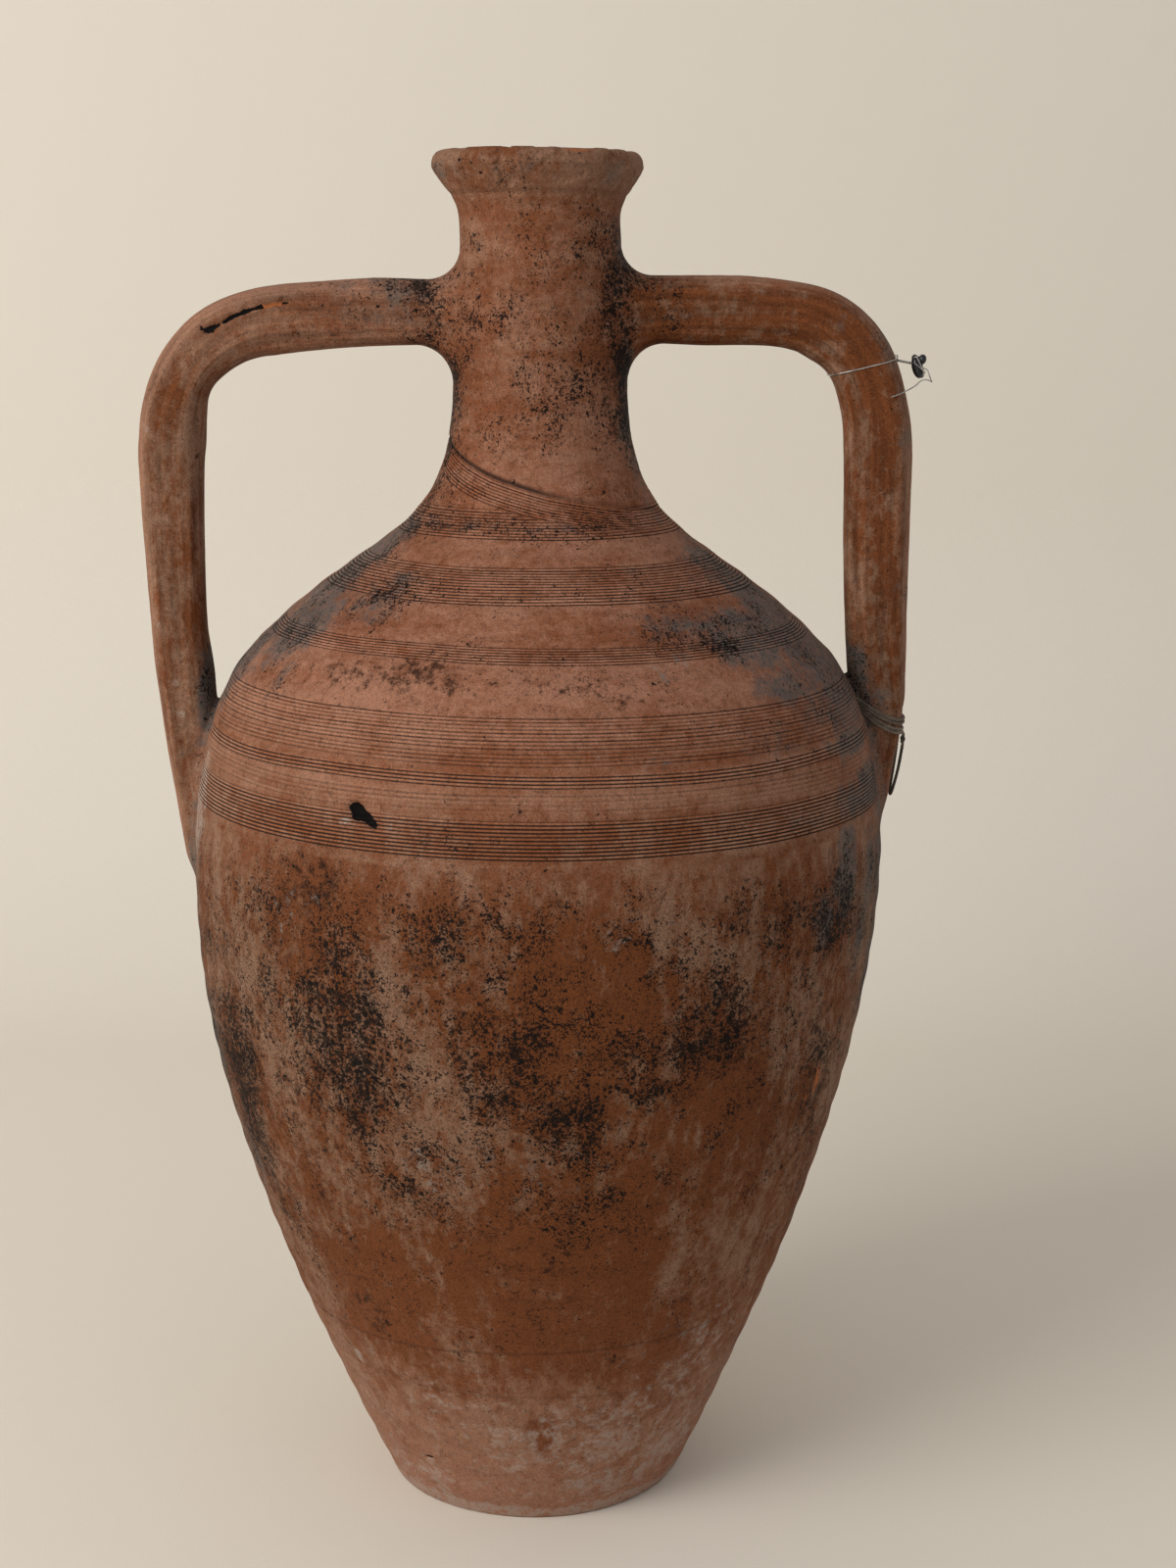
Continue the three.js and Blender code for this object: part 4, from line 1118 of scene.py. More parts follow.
# %% [markdown]
# ## The foot and the lip
# The foot is a flat disc, dragged off the wheel, with a worn and chalky lower edge. The lip is a
# ring that flares like a cone and rounds over to a flat top. Its edge is chipped all round, with
# one broad scar at the front left, so its own damage is added to the wall's marks. Both are turned
# from closed outlines, the disc with a pole at each end.

# %% The foot disc
FOOT_RADII = [2, 20, 40, 60, 72, 77, 78.6, 79.3, 79.8, 81, 82.6, 84.4, 85.9, 80, 60, 40, 20, 2]
FOOT_HEIGHTS = [1.2, 1.1, 0.8, 0.5, 0.2, 0, 0.1, 0.5, 1.3, 3.4, 7, 10.6, 14, 14, 14, 14, 14, 14]
FOOT_ROWS = 60


def foot_disc():
    places = np.linspace(0, len(FOOT_RADII) - 1, FOOT_ROWS)
    radii, heights = (np.interp(places, range(len(knots)), knots) for knots in (FOOT_RADII, FOOT_HEIGHTS))
    outside = ((heights > 0.02) & (heights < 13.9) & (radii > 78)).astype(float)
    outward = np.tile([0.9, -0.43], (FOOT_ROWS, 1))
    made = turned_piece("foot_disc", radii * MM, heights * MM, outside, outward, closed=False)
    return hand_over(made, "jar", "clay", "base_disc")


foot = foot_disc()
print("foot disc faces:", len(foot.data.polygons))

# %% The lip
LIP_CHIPS = [
    # angle, height, half width, half height, depth in mm along the surface, tilt
    (-17, 691, 5.6, 9.5, 1.5, 0), (-9.5, 691, 1.0, 9, -0.5, 8), (24, 699.3, 11, 2.2, 0.45, 0),
    (-36, 692, 9, 7, 0.7, 10), (14, 690, 12, 6, 0.8, -8), (-64, 690, 8, 8, 0.7, 0), (47, 693, 8, 7, 1.0, 20),
    (-50, 699.5, 6, 1.6, 0.35, 0), (-84, 697, 3, 2.4, 1.4, 0), (66, 699, 5, 2.4, 0.6, 0),
    (88, 686, 3, 3, 1.2, 0), (3, 699.6, 5, 1.2, 0.4, 0), (120, 699, 9, 2.6, 1.5, 0),
    (158, 697, 6, 4, 1.3, 15), (205, 699.4, 8, 1.8, 0.9, 0), (250, 698, 7, 3, 1.3, 0),
]
LIP_INNER_ROWS = 20
LIP_MEAN_RADIUS = 0.05


def lip_outline():
    flare = curve_points((43.8, 679), (52.8, 692.5), 0.74, 0.4, 0.4, 0.3, 44)
    t = np.linspace(0, 1, 41)[1:, None]
    over = bezier(t, (52.8, 692.5), (52.8, 697.2), (50.8, 700.0), (47.2, 700.0))
    top = np.linspace((47.2, 700), (36, 700), 18)[1:]
    low = (wall_radius(LIP_BASE) - WALL * math.hypot(1, float(wall_slope(LIP_BASE - 0.001)))) / MM
    t = np.linspace(0, 1, LIP_INNER_ROWS + 1)[1:, None]
    inside = (1 - t) ** 2 * (36, 700) + 2 * (1 - t) * t * (low, 697) + t ** 2 * (low, 679)
    return np.vstack([flare, over, top, inside]) * MM


def places_of(mesh):
    places = np.empty(len(mesh.vertices) * 3)
    mesh.vertices.foreach_get("co", places)
    return places.reshape(-1, 3)


def chipped_lip():
    profile = lip_outline()
    rows = len(profile)
    run = np.gradient(profile, axis=0)
    outward = np.stack([run[:, 1], -run[:, 0]], axis=1) / np.linalg.norm(run, axis=1)[:, None]
    outside = np.where(np.arange(rows) < rows - LIP_INNER_ROWS, 1.0, 0.0)
    made = turned_piece("lip", profile[:, 0], profile[:, 1], outside, outward)
    points = places_of(made.data).reshape(rows, COLUMNS, 3)
    angle = np.broadcast_to(np.linspace(0, math.tau, COLUMNS, endpoint=False), (rows, COLUMNS))
    height = np.broadcast_to(profile[:, 1:], angle.shape)
    rough = 1 + 0.4 * unevenness(points, 0.003, 61, 2)
    nibbled = np.clip(unevenness(points, 0.005, 63, 2), 0, 1) * np.exp(-((height - 0.697) / 0.004) ** 2)
    depth = 0.14 * MM * nibbled
    for *spot, deep, tilt in LIP_CHIPS:
        apart = spot_distance(angle, height, LIP_MEAN_RADIUS, spot, tilt) * rough
        depth += deep * MM * eased(np.clip((1.15 - apart) * 2.2, 0, 1))
    worn = outside[:, None] * np.clip((height - LIP_BASE) / (1.5 * MM), 0, 1)
    points = points - turned_about(outward[:, :1], angle, outward[:, 1:]) * (depth * worn)[..., None]
    points[..., 2] = np.minimum(points[..., 2], JAR_HEIGHT)
    made.data.vertices.foreach_set("co", points.ravel())
    made.data.update()
    mark_sharp(made, [0, rows - 1])
    return hand_over(made, "jar", "clay", "lip_ring")


lip = chipped_lip()
print("lip faces:", len(lip.data.polygons))

# %% [markdown]
# ## Handles
# Each handle is a rope of clay, pulled by hand, set on the neck, bent over and pressed onto the
# shoulder. Its section is a rounded oblong with a soft ridge where the thumb met the fingers. The
# centre line comes from the same values as in CAD. Where the handle nears the wall, its skin is
# pushed outwards by a quarter circle, as clay is smeared into the corner, so no seam shows. What
# would lie inside the jar is held just under the surface of the wall.

# %% The course of a handle
# From here on a handle is worked out in mm, and only its finished points are turned into metres.
ARM_THICKNESS = 33.5
HANDLE_DEPTH = 30
BELLY_RADIUS = 180
NECK_RADIUS = 44.3
LUTING_SIZE = 12
TAIL_PROUD = 1.2
TAIL_STEPS = 14
# How much fuller than an even rope each edge is: way along the centre line and mm
LEFT_OUTER = [
    (40, 2.3), (60, 2), (80, 0.8), (100, -0.5), (121, -1.9), (135, -1), (145, 0), (163, 0.8), (175, 0.4),
    (199, 0.45), (220, 1.4), (240, 1.8), (260, 1.55), (280, 1.5), (300, 1), (320, 0.8), (340, 0.4),
    (360, -0.1), (380, -0.35), (400, -0.1), (420, 0.7), (440, 0),
]
LEFT_INNER = [
    (40, -3), (60, -2), (80, -0.5), (100, 1.3), (115, 2.3), (127, 1.3), (133, 0.5), (145, -0.9),
    (157, -2.3), (163, -3.5), (169, -3.9), (175, -3.4), (181, -2), (187, -1.3), (199, -0.4), (220, -1.55),
    (240, -1.7), (260, -1.5), (280, -1.1), (298, -0.6), (308, 0.9), (320, 2.6), (345, 2.6),
]
RIGHT_OUTER = [
    (40, 1.06), (60, 0.65), (80, 0.5), (100, -1), (115, -1.8), (127, -0.9), (139, 0.3), (151, 0.76),
    (163, 0), (175, -0.4), (199, 0.1), (211, 0.5), (240, 0.1), (260, -0.3), (280, -0.6), (300, -0.2),
    (320, 0.2), (360, -0.1), (380, -0.4), (400, 0),
]
RIGHT_INNER = [
    (40, -0.3), (60, 0.4), (80, 0.7), (100, 1.25), (115, 2.7), (127, 2.8), (133, 1.9), (139, 0.6),
    (151, -0.6), (163, 0.2), (199, 0.7), (220, 0.6), (240, 0.5), (260, 0), (280, -0.2), (298, 1),
    (308, 2.6), (320, 3.4), (345, 3.4),
]
LEFT = SimpleNamespace(
    side=-1, outer_edge=LEFT_OUTER, inner_edge=LEFT_INNER, arm_drop=81, leg_outset=23.4, bend_across=57,
    bend_drop=66, crease=428, crease_outset=16.4, tail_thickness=26, taper=1, tail_mid=368,
    tail_mid_proud=9.9, tail_end=318)
RIGHT = SimpleNamespace(
    side=1, outer_edge=RIGHT_OUTER, inner_edge=RIGHT_INNER, arm_drop=77, leg_outset=10.2, bend_across=46,
    bend_drop=70, crease=421, crease_outset=10.2, tail_thickness=18.5, taper=5.5, tail_mid=388,
    tail_mid_proud=9, tail_end=352)


def radius_mm(height):
    return wall_radius(height * MM) / MM


def arm_height(handle):
    return JAR_HEIGHT / MM - handle.arm_drop


def bend_point(handle, degrees):
    angle = math.radians(degrees)
    across = BELLY_RADIUS + handle.leg_outset - ARM_THICKNESS / 2 - handle.bend_across * (1 - math.sin(angle))
    down = handle.bend_drop * (1 - math.cos(angle))
    return np.array([handle.side * across, 0, arm_height(handle) - down])


def thickness_at(handle, height):
    leg_top = bend_point(handle, 90)[2]
    down = np.clip((leg_top - height) / (leg_top - handle.crease), 0, 1)
    return ARM_THICKNESS + (handle.tail_thickness - ARM_THICKNESS) * down ** handle.taper


def leg_face(handle):
    """The outer face of the leg, from the bend down to the end of the tail."""
    places = [(BELLY_RADIUS + handle.leg_outset, bend_point(handle, 90)[2]),
              (BELLY_RADIUS + handle.crease_outset, handle.crease),
              (radius_mm(handle.tail_mid) + handle.tail_mid_proud, handle.tail_mid),
              (radius_mm(handle.tail_end) + TAIL_PROUD, handle.tail_end)]
    return smooth_path([(handle.side * x, 0, z) for x, z in places], 1)


def centre_line(handle, spacing):
    arm = arm_height(handle)
    points = [(handle.side * x, 0, arm) for x in (NECK_RADIUS / 2, NECK_RADIUS + LUTING_SIZE)]
    points += [tuple(bend_point(handle, degrees)) for degrees in range(0, 91, 15)]
    face = leg_face(handle)
    for x, _, z in even_steps(face, length_of(face) / TAIL_STEPS)[1:]:
        points.append((x - handle.side * thickness_at(handle, z) / 2, 0, z))
    return smooth_path(points, spacing)


# %% The skin of a handle
HANDLE_SIDES = 144
HANDLE_STEP = 0.8
SECTION_POWER = 2.4
EDGE_SOFTNESS = 5
HIDDEN_DEPTH = 2.4
TAIL_FADE = 26
ROOT_HEIGHTS = [320, 350, 378, 398, 470, 520, 600, 619, 640]
ROOT_ROUNDING = [5, 8, 8, 3, 3, 10, 20, 18, 15]


def wall_distance(points):
    """Distance from the wall in mm, positive outside, and the wall's own outward direction."""
    shifted = points[..., 0] - wander(points[..., 2] * MM) / MM
    reach = np.hypot(shifted, points[..., 1])
    slope = wall_slope(points[..., 2] * MM)
    slant = np.hypot(1, slope)
    away = np.stack([shifted / reach, points[..., 1] / reach, -slope], axis=-1) / slant[..., None]
    return (reach - radius_mm(points[..., 2])) / slant, away


def edge_shift(readings, way):
    """The read edge, softened along the handle."""
    shift = np.interp(way, *np.array(readings).T)
    weight = np.exp(-(np.arange(-12, 13) * HANDLE_STEP / EDGE_SOFTNESS) ** 2)
    return np.convolve(np.pad(shift, 12, "edge"), weight / weight.sum(), "valid")[:, None]


def rounded(wave):
    """Turns a circle into a rounded oblong."""
    return np.sign(wave) * np.abs(wave) ** (2 / SECTION_POWER)


def handle_rings(handle, angle):
    line = centre_line(handle, HANDLE_STEP)
    way = np.arange(len(line)) * HANDLE_STEP
    along = np.gradient(line, axis=0)
    along /= np.linalg.norm(along, axis=1)[:, None]
    outer = handle.side * np.stack([-along[:, 2], 0 * along[:, 0], along[:, 0]], axis=1)
    u, v = rounded(np.cos(angle)), rounded(np.sin(angle))
    from_outside = np.abs(half_turn(angle))
    ridge = 0.075 * np.exp(-((from_outside - 1.02) / 0.2) ** 2)
    flat = 0.05 * np.exp(-((from_outside - 1.6) / 0.36) ** 2)
    swell = 1 + ridge - flat
    half = thickness_at(handle, line[:, 2])[:, None] / 2
    fuller = edge_shift(handle.outer_edge, way) * np.maximum(u, 0)
    fuller = fuller + edge_shift(handle.inner_edge, way) * np.maximum(-u, 0)
    side_reach = u * half * swell + np.sign(u) * fuller
    front_reach = v * HANDLE_DEPTH / 2 * swell
    direction = side_reach[..., None] * outer[:, None, :] + front_reach[..., None] * (0, -1, 0)
    return line[:, None, :] + direction, direction / np.linalg.norm(direction, axis=-1, keepdims=True)


def wall_cut(points):
    """How deep the hand's marks cut the wall beside each point, in mm."""
    angle = np.arctan2(points[..., 0], -points[..., 1])
    height = points[..., 2] * MM
    return hand_marks(angle, height, turned_about(wall_radius(height), angle, height))[0] / MM


def smear_onto_wall(points, away_from_centre):
    """Fills the corner between handle and wall with a round fillet, as a wet thumb does."""
    rounding = np.interp(points[..., 2], ROOT_HEIGHTS, ROOT_ROUNDING)
    cut = wall_cut(points)
    low, high = np.zeros(points.shape[:-1]), rounding.copy()
    for _ in range(12):
        middle = (low + high) / 2
        apart, _ = wall_distance(points + away_from_centre * middle[..., None])
        gap = np.clip(rounding - apart - cut, 0, rounding)
        further = rounding - np.sqrt(rounding ** 2 - gap ** 2) > middle
        low, high = np.where(further, middle, low), np.where(further, high, middle)
    return points + away_from_centre * low[..., None]


def sink_under_wall(points, handle):
    """The tail fades into the belly, and nothing goes deeper than just under the wall's surface."""
    apart, wall_out = wall_distance(points)
    fade = np.clip((points[..., 2] - handle.tail_end) / TAIL_FADE, 0, 1)
    fade = np.where(points[..., 2] < 470, eased(fade), 1)
    target = np.maximum(apart * fade - TAIL_PROUD * (1 - fade), -HIDDEN_DEPTH)
    return points + wall_out * (target - apart)[..., None]


def streak_grid(angle, way):
    """Places for streaks that run along the handle."""
    return np.stack(np.broadcast_arrays(np.cos(angle) * 16, np.sin(angle) * 16, way), axis=-1)


def pulled_marks(points, angle, way):
    """Long finger streaks along the handle and small dents, as depth in mm."""
    streaks = 0.16 * unevenness(streak_grid(angle, way * 0.05), 3.2, 71, 2)
    return streaks + 0.45 * unevenness(points, 28, 73) + 0.08 * unevenness(points, 5, 75, 2)


# Across and up in mm, and how wide the crack is there
CRACK = np.array([
    (-165.5, 612.4, 3.2), (-159, 615.2, 0.6), (-153, 618.8, 1.7), (-147, 621.3, 2.1), (-141, 623.3, 1.8),
    (-133, 625, 2.4), (-126, 626, 1.4),
])


def crack_marks(points):
    """An open crack on the front of the left bend, its pit, and the fresh clay at its end."""
    depth, black, fresh = (np.zeros(points.shape[:-1]) for _ in range(3))
    ragged = 1 + 0.8 * unevenness(points, 2.2, 77, 2)
    for at in np.linspace(0, len(CRACK) - 1, 60):
        x, z, width = (np.interp(at, range(len(CRACK)), column) for column in CRACK.T)
        apart = np.hypot(points[..., 0] - x, (points[..., 2] - z) * 1.6) / width * ragged
        cut = np.where(points[..., 1] < -4, np.clip(1.3 - apart, 0, 1), 0)
        depth = np.maximum(depth, cut * 1.5)
        black = np.maximum(black, np.clip(cut * 1.8 - 0.5, 0, 1) * (at < 4.2 or at > 5.7))
        fresh = np.maximum(fresh, cut * (at > 3.8))
    return depth, black, fresh


# %% The stains of a handle
HANDLE_SPOTS = {
    # across and up in mm from the middle of the foot, size in mm, strength
    "speckle": [(-62, 632, 14, 0.8), (-58, 606, 12, 0.7), (-90, 618, 14, 0.45), (60, 634, 12, 0.6),
                (64, 606, 12, 0.6), (-190, 585, 14, 0.3), (180, 590, 16, 0.3)],
    "smoke_and_shade": [(-72, 636, 22, 0.75), (-100, 634, 16, 0.5), (70, 617, 12, 0.4), (187, 560, 10, 0.5),
              (189, 480, 12, 0.5), (176, 606, 12, 0.55), (-166, 440, 10, 0.9), (160, 446, 12, 0.95),
              (172, 428, 12, 0.7), (-176, 400, 9, 0.6), (187, 395, 12, 0.5), (150, 622, 14, 0.3)],
    "rust_and_shade": [(-168, 540, 16, 0.6), (-170, 480, 16, 0.6), (170, 520, 20, 0.45), (172, 470, 18, 0.5),
             (-120, 612, 26, 0.5), (105, 616, 24, 0.4), (-174, 430, 14, 0.5)],
    "pale": [(-187, 434, 3.5, 0.8), (-184, 418, 2.4, 0.7), (-200, 560, 12, 0.3), (-198, 470, 12, 0.3),
             (-183, 345, 14, 0.4), (120, 632, 16, 0.25), (178, 500, 10, 0.2)],
}


def spot_masks(points):
    ragged = 1 + 0.45 * unevenness(points, 14, 81, 3)
    masks = {name: np.zeros(points.shape[:-1]) for name in HANDLE_SPOTS}
    for name, spots in HANDLE_SPOTS.items():
        for x, z, size, strength in spots:
            apart = np.hypot(points[..., 0] - x, points[..., 2] - z) / size
            masks[name] = np.maximum(masks[name], strength * np.exp(-apart ** 2) * ragged)
    return {name: np.clip(mask, 0, 1) for name, mask in masks.items()}


def handle_values(rings, angle):
    """What the clay material reads on a handle. The values melt into the wall's at its roots."""
    x, z = rings[..., 0], rings[..., 2]
    apart, _ = wall_distance(rings)
    close = eased(np.clip((11 - apart) / 11, 0, 1))
    height = np.clip(z, 1, 699) * MM
    on_wall = stain_masks(np.arctan2(x, -rings[..., 1]), height, rings * MM)
    from_outside = np.abs(half_turn(angle))
    # Painted shade: the crook between the inner face of a handle and the wall is darkened through the umber
    # and smoke stains.
    crook = np.clip((from_outside - 1.7) / 0.5, 0, 1) * np.clip((24 - apart) / 14, 0, 1)
    crook = crook * np.clip((464 - z) / 14, 0, 1) * np.clip((z - 392) / 20, 0, 1)
    values = {"pulled": 0.62 * (1 - close)}
    for stain, mask in spot_masks(rings).items():
        own = mask * (1 - 0.6 * close)
        if stain in ("rust_and_shade", "smoke_and_shade"):
            own = np.maximum(own, crook)
        values[stain] = np.maximum(own, on_wall[stain] * close)
    outwards = np.clip(1.5 - 1.2 * from_outside, 0, 1)
    arm = np.clip((z - 580) / 30, 0, 1)
    # Painted light and shade: the left arm is painted paler and the right handle darker, most of all on its
    # arm, as the light falls from the left.
    tone = 0.14 + 0.34 * outwards + 0.1 * unevenness(rings, 40, 83) + np.where(x > 0, -0.14, 0.2 * arm)
    warm = 0.56 - 0.44 * outwards + arm * np.where(x > 0, 0.15, -0.3)
    values["tone"] = np.clip(tone, 0, 1) * (1 - close) + wall_tone(height) * close
    values["warm"] = warm * (1 - close) + wall_warm(height, 0) * close
    near_neck = np.clip(np.exp(-(np.abs(x) - 46) / 26), 0, 1)
    pepper = 0.2 + 0.2 * unevenness(rings, 22, 85, 2) + 0.4 * np.where(z > 560, near_neck, 0)
    values["pepper"] = np.clip(pepper, 0, 1)
    return values


# %% Both handles
CAP_SHARES = (0.1, 0.35, 0.7)


def volume_of(mesh):
    mesh.calc_loop_triangles()
    corners = np.empty(len(mesh.loop_triangles) * 3, dtype=np.int32)
    mesh.loop_triangles.foreach_get("vertices", corners)
    a, b, c = places_of(mesh)[corners.reshape(-1, 3)].transpose(1, 0, 2)
    return float(np.einsum("ij,ij->i", a, np.cross(b, c)).sum() / 6)


def capped_tube(name, rings, poles):
    """A closed skin over rings of points in mm, with a pole at each end, facing outwards."""
    points = np.vstack([rings.reshape(-1, 3), poles]) * MM
    mesh = mesh_from(name, points, tube_faces(*rings.shape[:2], closed=False))
    if volume_of(mesh) < 0:
        mesh.flip_normals()
    return mesh


def cap_rings(ring, shares):
    centre = ring.mean(axis=0)
    return [centre + (ring - centre) * share for share in shares]


def past_caps(values):
    """Zeros for the rings of both caps, before and after the handle's own."""
    return np.pad(values, [(len(CAP_SHARES), len(CAP_SHARES))] + [(0, 0)] * (values.ndim - 1))


def handle_piece(name, handle, nodes):
    angle = np.linspace(0, math.tau, HANDLE_SIDES, endpoint=False)
    rings, outward = handle_rings(handle, angle)
    way = np.arange(len(rings))[:, None] * HANDLE_STEP
    rings = rings - outward * pulled_marks(rings, angle, way)[..., None]
    depth, black, fresh = crack_marks(rings)
    rings = smear_onto_wall(rings - outward * depth[..., None], outward)
    rings = np.array([*cap_rings(rings[0], CAP_SHARES), *rings, *cap_rings(rings[-1], CAP_SHARES[::-1])])
    rings = sink_under_wall(rings, handle)
    mesh = capped_tube(name, rings, [rings[0].mean(axis=0), rings[-1].mean(axis=0)])
    pull = streak_grid(angle, way * 0.06) * MM
    values = {"fresh": past_caps(fresh), "dark": past_caps(black), "pull": past_caps(pull)}
    store_on_points(mesh, rings.shape[:2], handle_values(rings, angle) | values)
    print(f"{name}: {len(mesh.polygons)} faces, {volume_of(mesh) * 1e6:.0f} cm3")
    return hand_over(place(mesh, CLAY), "jar", "clay", *nodes)


left_handle = handle_piece("pulled_handle_left", LEFT, ("handle_left", "neck_luting_left"))
right_handle = handle_piece("pulled_handle_right", RIGHT, ("handle_right", "neck_luting_right"))

# %% [markdown]
# ## The twine lashing and its knot
# Four turns of twine are wound low round the right handle. They hang across the front and climb
# into the crook on the inside. Each point of a turn is found by looking at the handle from
# outside towards its middle, so the twine lies on the real skin. The turns lie in two pairs.

# %% Lay the turns on the handle
handle_skin = BVHTree.FromPolygons([v.co for v in right_handle.data.vertices],
                                   [tuple(p.vertices) for p in right_handle.data.polygons])
handle_middle = centre_line(RIGHT, 1.0)
OUTSIDE_HANDLE = 60 * MM


def on_handle(centre, direction, lift):
    """The point where a look from outside towards the handle's middle meets its skin, in mm."""
    direction = Vector(direction).normalized()
    hit = handle_skin.ray_cast(Vector(centre) * MM + direction * OUTSIDE_HANDLE, -direction)[0]
    return np.array(hit) / MM + np.array(direction) * lift


def beside_leg(height, angle, lift):
    nearest = handle_middle[np.argmin(np.abs(handle_middle[:, 2] - height))]
    return on_handle((nearest[0], 0, height), (math.cos(angle), -math.sin(angle), 0), lift)


LASHING_LOW = 408.6
LASHING_CLIMB = 15
LASHING_DRAPE = 2.3
OUTER_LEVELS = [0, 1.9, 5.5, 7.4, 9.2]
INNER_LEVELS = [0, 1.8, 3.6, 5.4, 7.2]
KNOT_PLACE = np.array([190.7, -3.6, 404.4])
BEFORE_FIRST_TURN = [(0, 0, -4.4), (0, 0, -2), (0, 0, 1.2), (0.3, 0.2, 2.8)]


def lashing_height(turn):
    inwards = (1 - math.cos(math.tau * turn)) / 2
    step = min(int(turn), 3)
    part = eased(min(max((turn - step - 0.5) / 0.45, 0), 1))
    outer = blended(part, OUTER_LEVELS[step], OUTER_LEVELS[step + 1], 0, 1)
    inner = blended(part, INNER_LEVELS[step], INNER_LEVELS[step + 1], 0, 1)
    return LASHING_LOW + LASHING_CLIMB * inwards ** LASHING_DRAPE + outer * (1 - inwards) + inner * inwards


turns = [beside_leg(lashing_height(turn), math.tau * turn, TWINE_DIAMETER / MM * 0.47)
         for turn in np.arange(0.05, 3.93, 1 / 40)]
lashing_path = smooth_path(np.array([KNOT_PLACE + away for away in BEFORE_FIRST_TURN] + turns) * MM, 0.8 * MM)
lashing = twine_along("twine_turns", lashing_path, TWINE, "twine_lashing")


# %% The knot
def knot_path():
    """A closed three-lobed knot, flattened against the handle."""
    t = np.linspace(0, math.tau, 90)
    x = (np.sin(t) + 1.7 * np.sin(2 * t)) * 0.42
    y = (np.cos(t) - 1.7 * np.cos(2 * t)) * 0.52
    z = -np.sin(3 * t) * 0.75
    return (np.stack([z * 0.8, x, y * 1.15], axis=1) + KNOT_PLACE) * MM


knot = twine_along("twine_knot_tied", knot_path(), OLD_TWINE, "twine_knot", 1.7 * MM)

# %% [markdown]
# ## Wire and seal
# A thin galvanised wire goes once round the bend of the right handle. Its two ends are twisted
# together, run over a small black seal of folded plastic, and spring away in a loose tail. Wire is
# a round tube on a path, so a short Geometry Nodes tree draws it. The seal is a few soft lobes
# melted into one by a voxel remesh, which gives the crimped fold between them.


# %% Geometry Nodes: wire on a path
def wire_tree():
    first_values = {"Geometry": "Geometry", "Diameter": 0.0008, "Step": 0.0005, "Material": "Material"}
    tree, given = new_tree("drawn_wire", "GeometryNodeTree", first_values, {"Geometry": "Geometry"})
    tube = round_tube(tree, path_in_steps(tree, given), given["Diameter"] * 0.5, 10)
    return end_tree(tree, tube, given["Material"])


def wire_surface(tree):
    colour, grain = clouds(tree, (0.62, 0.60, 0.57, 1), (0.22, 0.20, 0.18, 1))
    return {"Base Color": colour, "Metallic": 0.9, "Roughness": grain * 0.25 + 0.28}


DRAWN_WIRE = wire_tree()
WIRE = new_material("galvanised_wire", wire_surface)
WIRE_DIAMETER = 0.7
SEAL_WIRE_DIAMETER = 0.6


def wire_along(name, path, body, node, diameter=WIRE_DIAMETER):
    path = smooth_path(np.asarray(path) * MM, STRAND_STEP)
    made = tube_along(name, path, DRAWN_WIRE, {"Diameter": diameter * MM, "Material": WIRE})
    return hand_over(made, body, "wire", node)


# %% The wire round the handle
wire_centre = bend_point(RIGHT, 52)
WIRE_TILT = math.radians(14)


def ring_point(degrees):
    angle = math.radians(degrees)
    reach = math.cos(angle)
    way = (math.cos(WIRE_TILT) * reach, -math.sin(angle), math.sin(WIRE_TILT) * reach)
    return on_handle(wire_centre, way, WIRE_DIAMETER * 0.45)


wire_ring = wire_along("wire_round_handle", [ring_point(d) for d in np.arange(4, 357, 6)], "jar", "wire_ring")

# %% The twisted ends and the loose tail
at_handle = ring_point(0)
pair_start = at_handle + (0.3, -0.6, -0.9)
PAIR_END = np.array([190.2, -0.3, 597.8])
SEAL_MIDDLE = np.array([192.3, 0, 596.6])


def twisted_strand(phase, turns=3.0, swing=0.45):
    steps = np.linspace(0, 1, 40)[:, None]
    turn = math.tau * turns * steps + phase
    swung = np.cos(turn) * (0, 1, 0) + np.sin(turn) * (0, 0, 1)
    return list(pair_start * (1 - steps) + PAIR_END * steps + swing * swung)


FIRST_END = [at_handle + (-1.4, -1.2, 1.2), at_handle + (0.6, -1.0, 1.6)]
OVER_FACE = [(190.6, 0, 597.4), (189.7, -2.2, 598.2), (190.2, -3.3, 598.0), (192.0, -3.9, 596.4),
             (194.3, -3.7, 594.4), (195.6, -2.4, 593.4), (194.6, 0, 594.6)]
ACROSS_SEAL = [(191.2, 0.1, 599.1), (189.6, -1.8, 600.5), (190.6, -3.0, 601.3), (192.6, -3.7, 597.6),
               (194.4, -3.6, 594.2), (194.4, -3.0, 591.9), (193.4, 0, 592.4)]
TAIL = [(194.6, 0, 595.8), (196.9, -0.4, 594.7), (197.7, -1.4, 592.6), (198.9, -1.6, 589.6),
        (199.5, -1.5, 588.7), (198.3, -1.9, 589.3), (196.0, -3.4, 589.9), (193.0, -5.2, 589.3),
        (190.2, -7.6, 587.2), (185.6, -11.2, 584.9), (181.0, -14.2, 583.0), (176.4, -15.9, 581.5)]
WIRE_ENDS = [
    ("wire_end_upper", FIRST_END + twisted_strand(0.0), "jar", "wire_tail", WIRE_DIAMETER),
    ("wire_end_lower", twisted_strand(math.pi), "jar", "wire_tail", WIRE_DIAMETER),
    ("wire_over_seal_low", OVER_FACE, "seal", "seal", SEAL_WIRE_DIAMETER),
    ("wire_over_seal_high", ACROSS_SEAL, "seal", "seal", SEAL_WIRE_DIAMETER),
    ("wire_loose_tail", TAIL, "jar", "wire_tail", SEAL_WIRE_DIAMETER),
]
wire_ends = [wire_along(*end) for end in WIRE_ENDS]

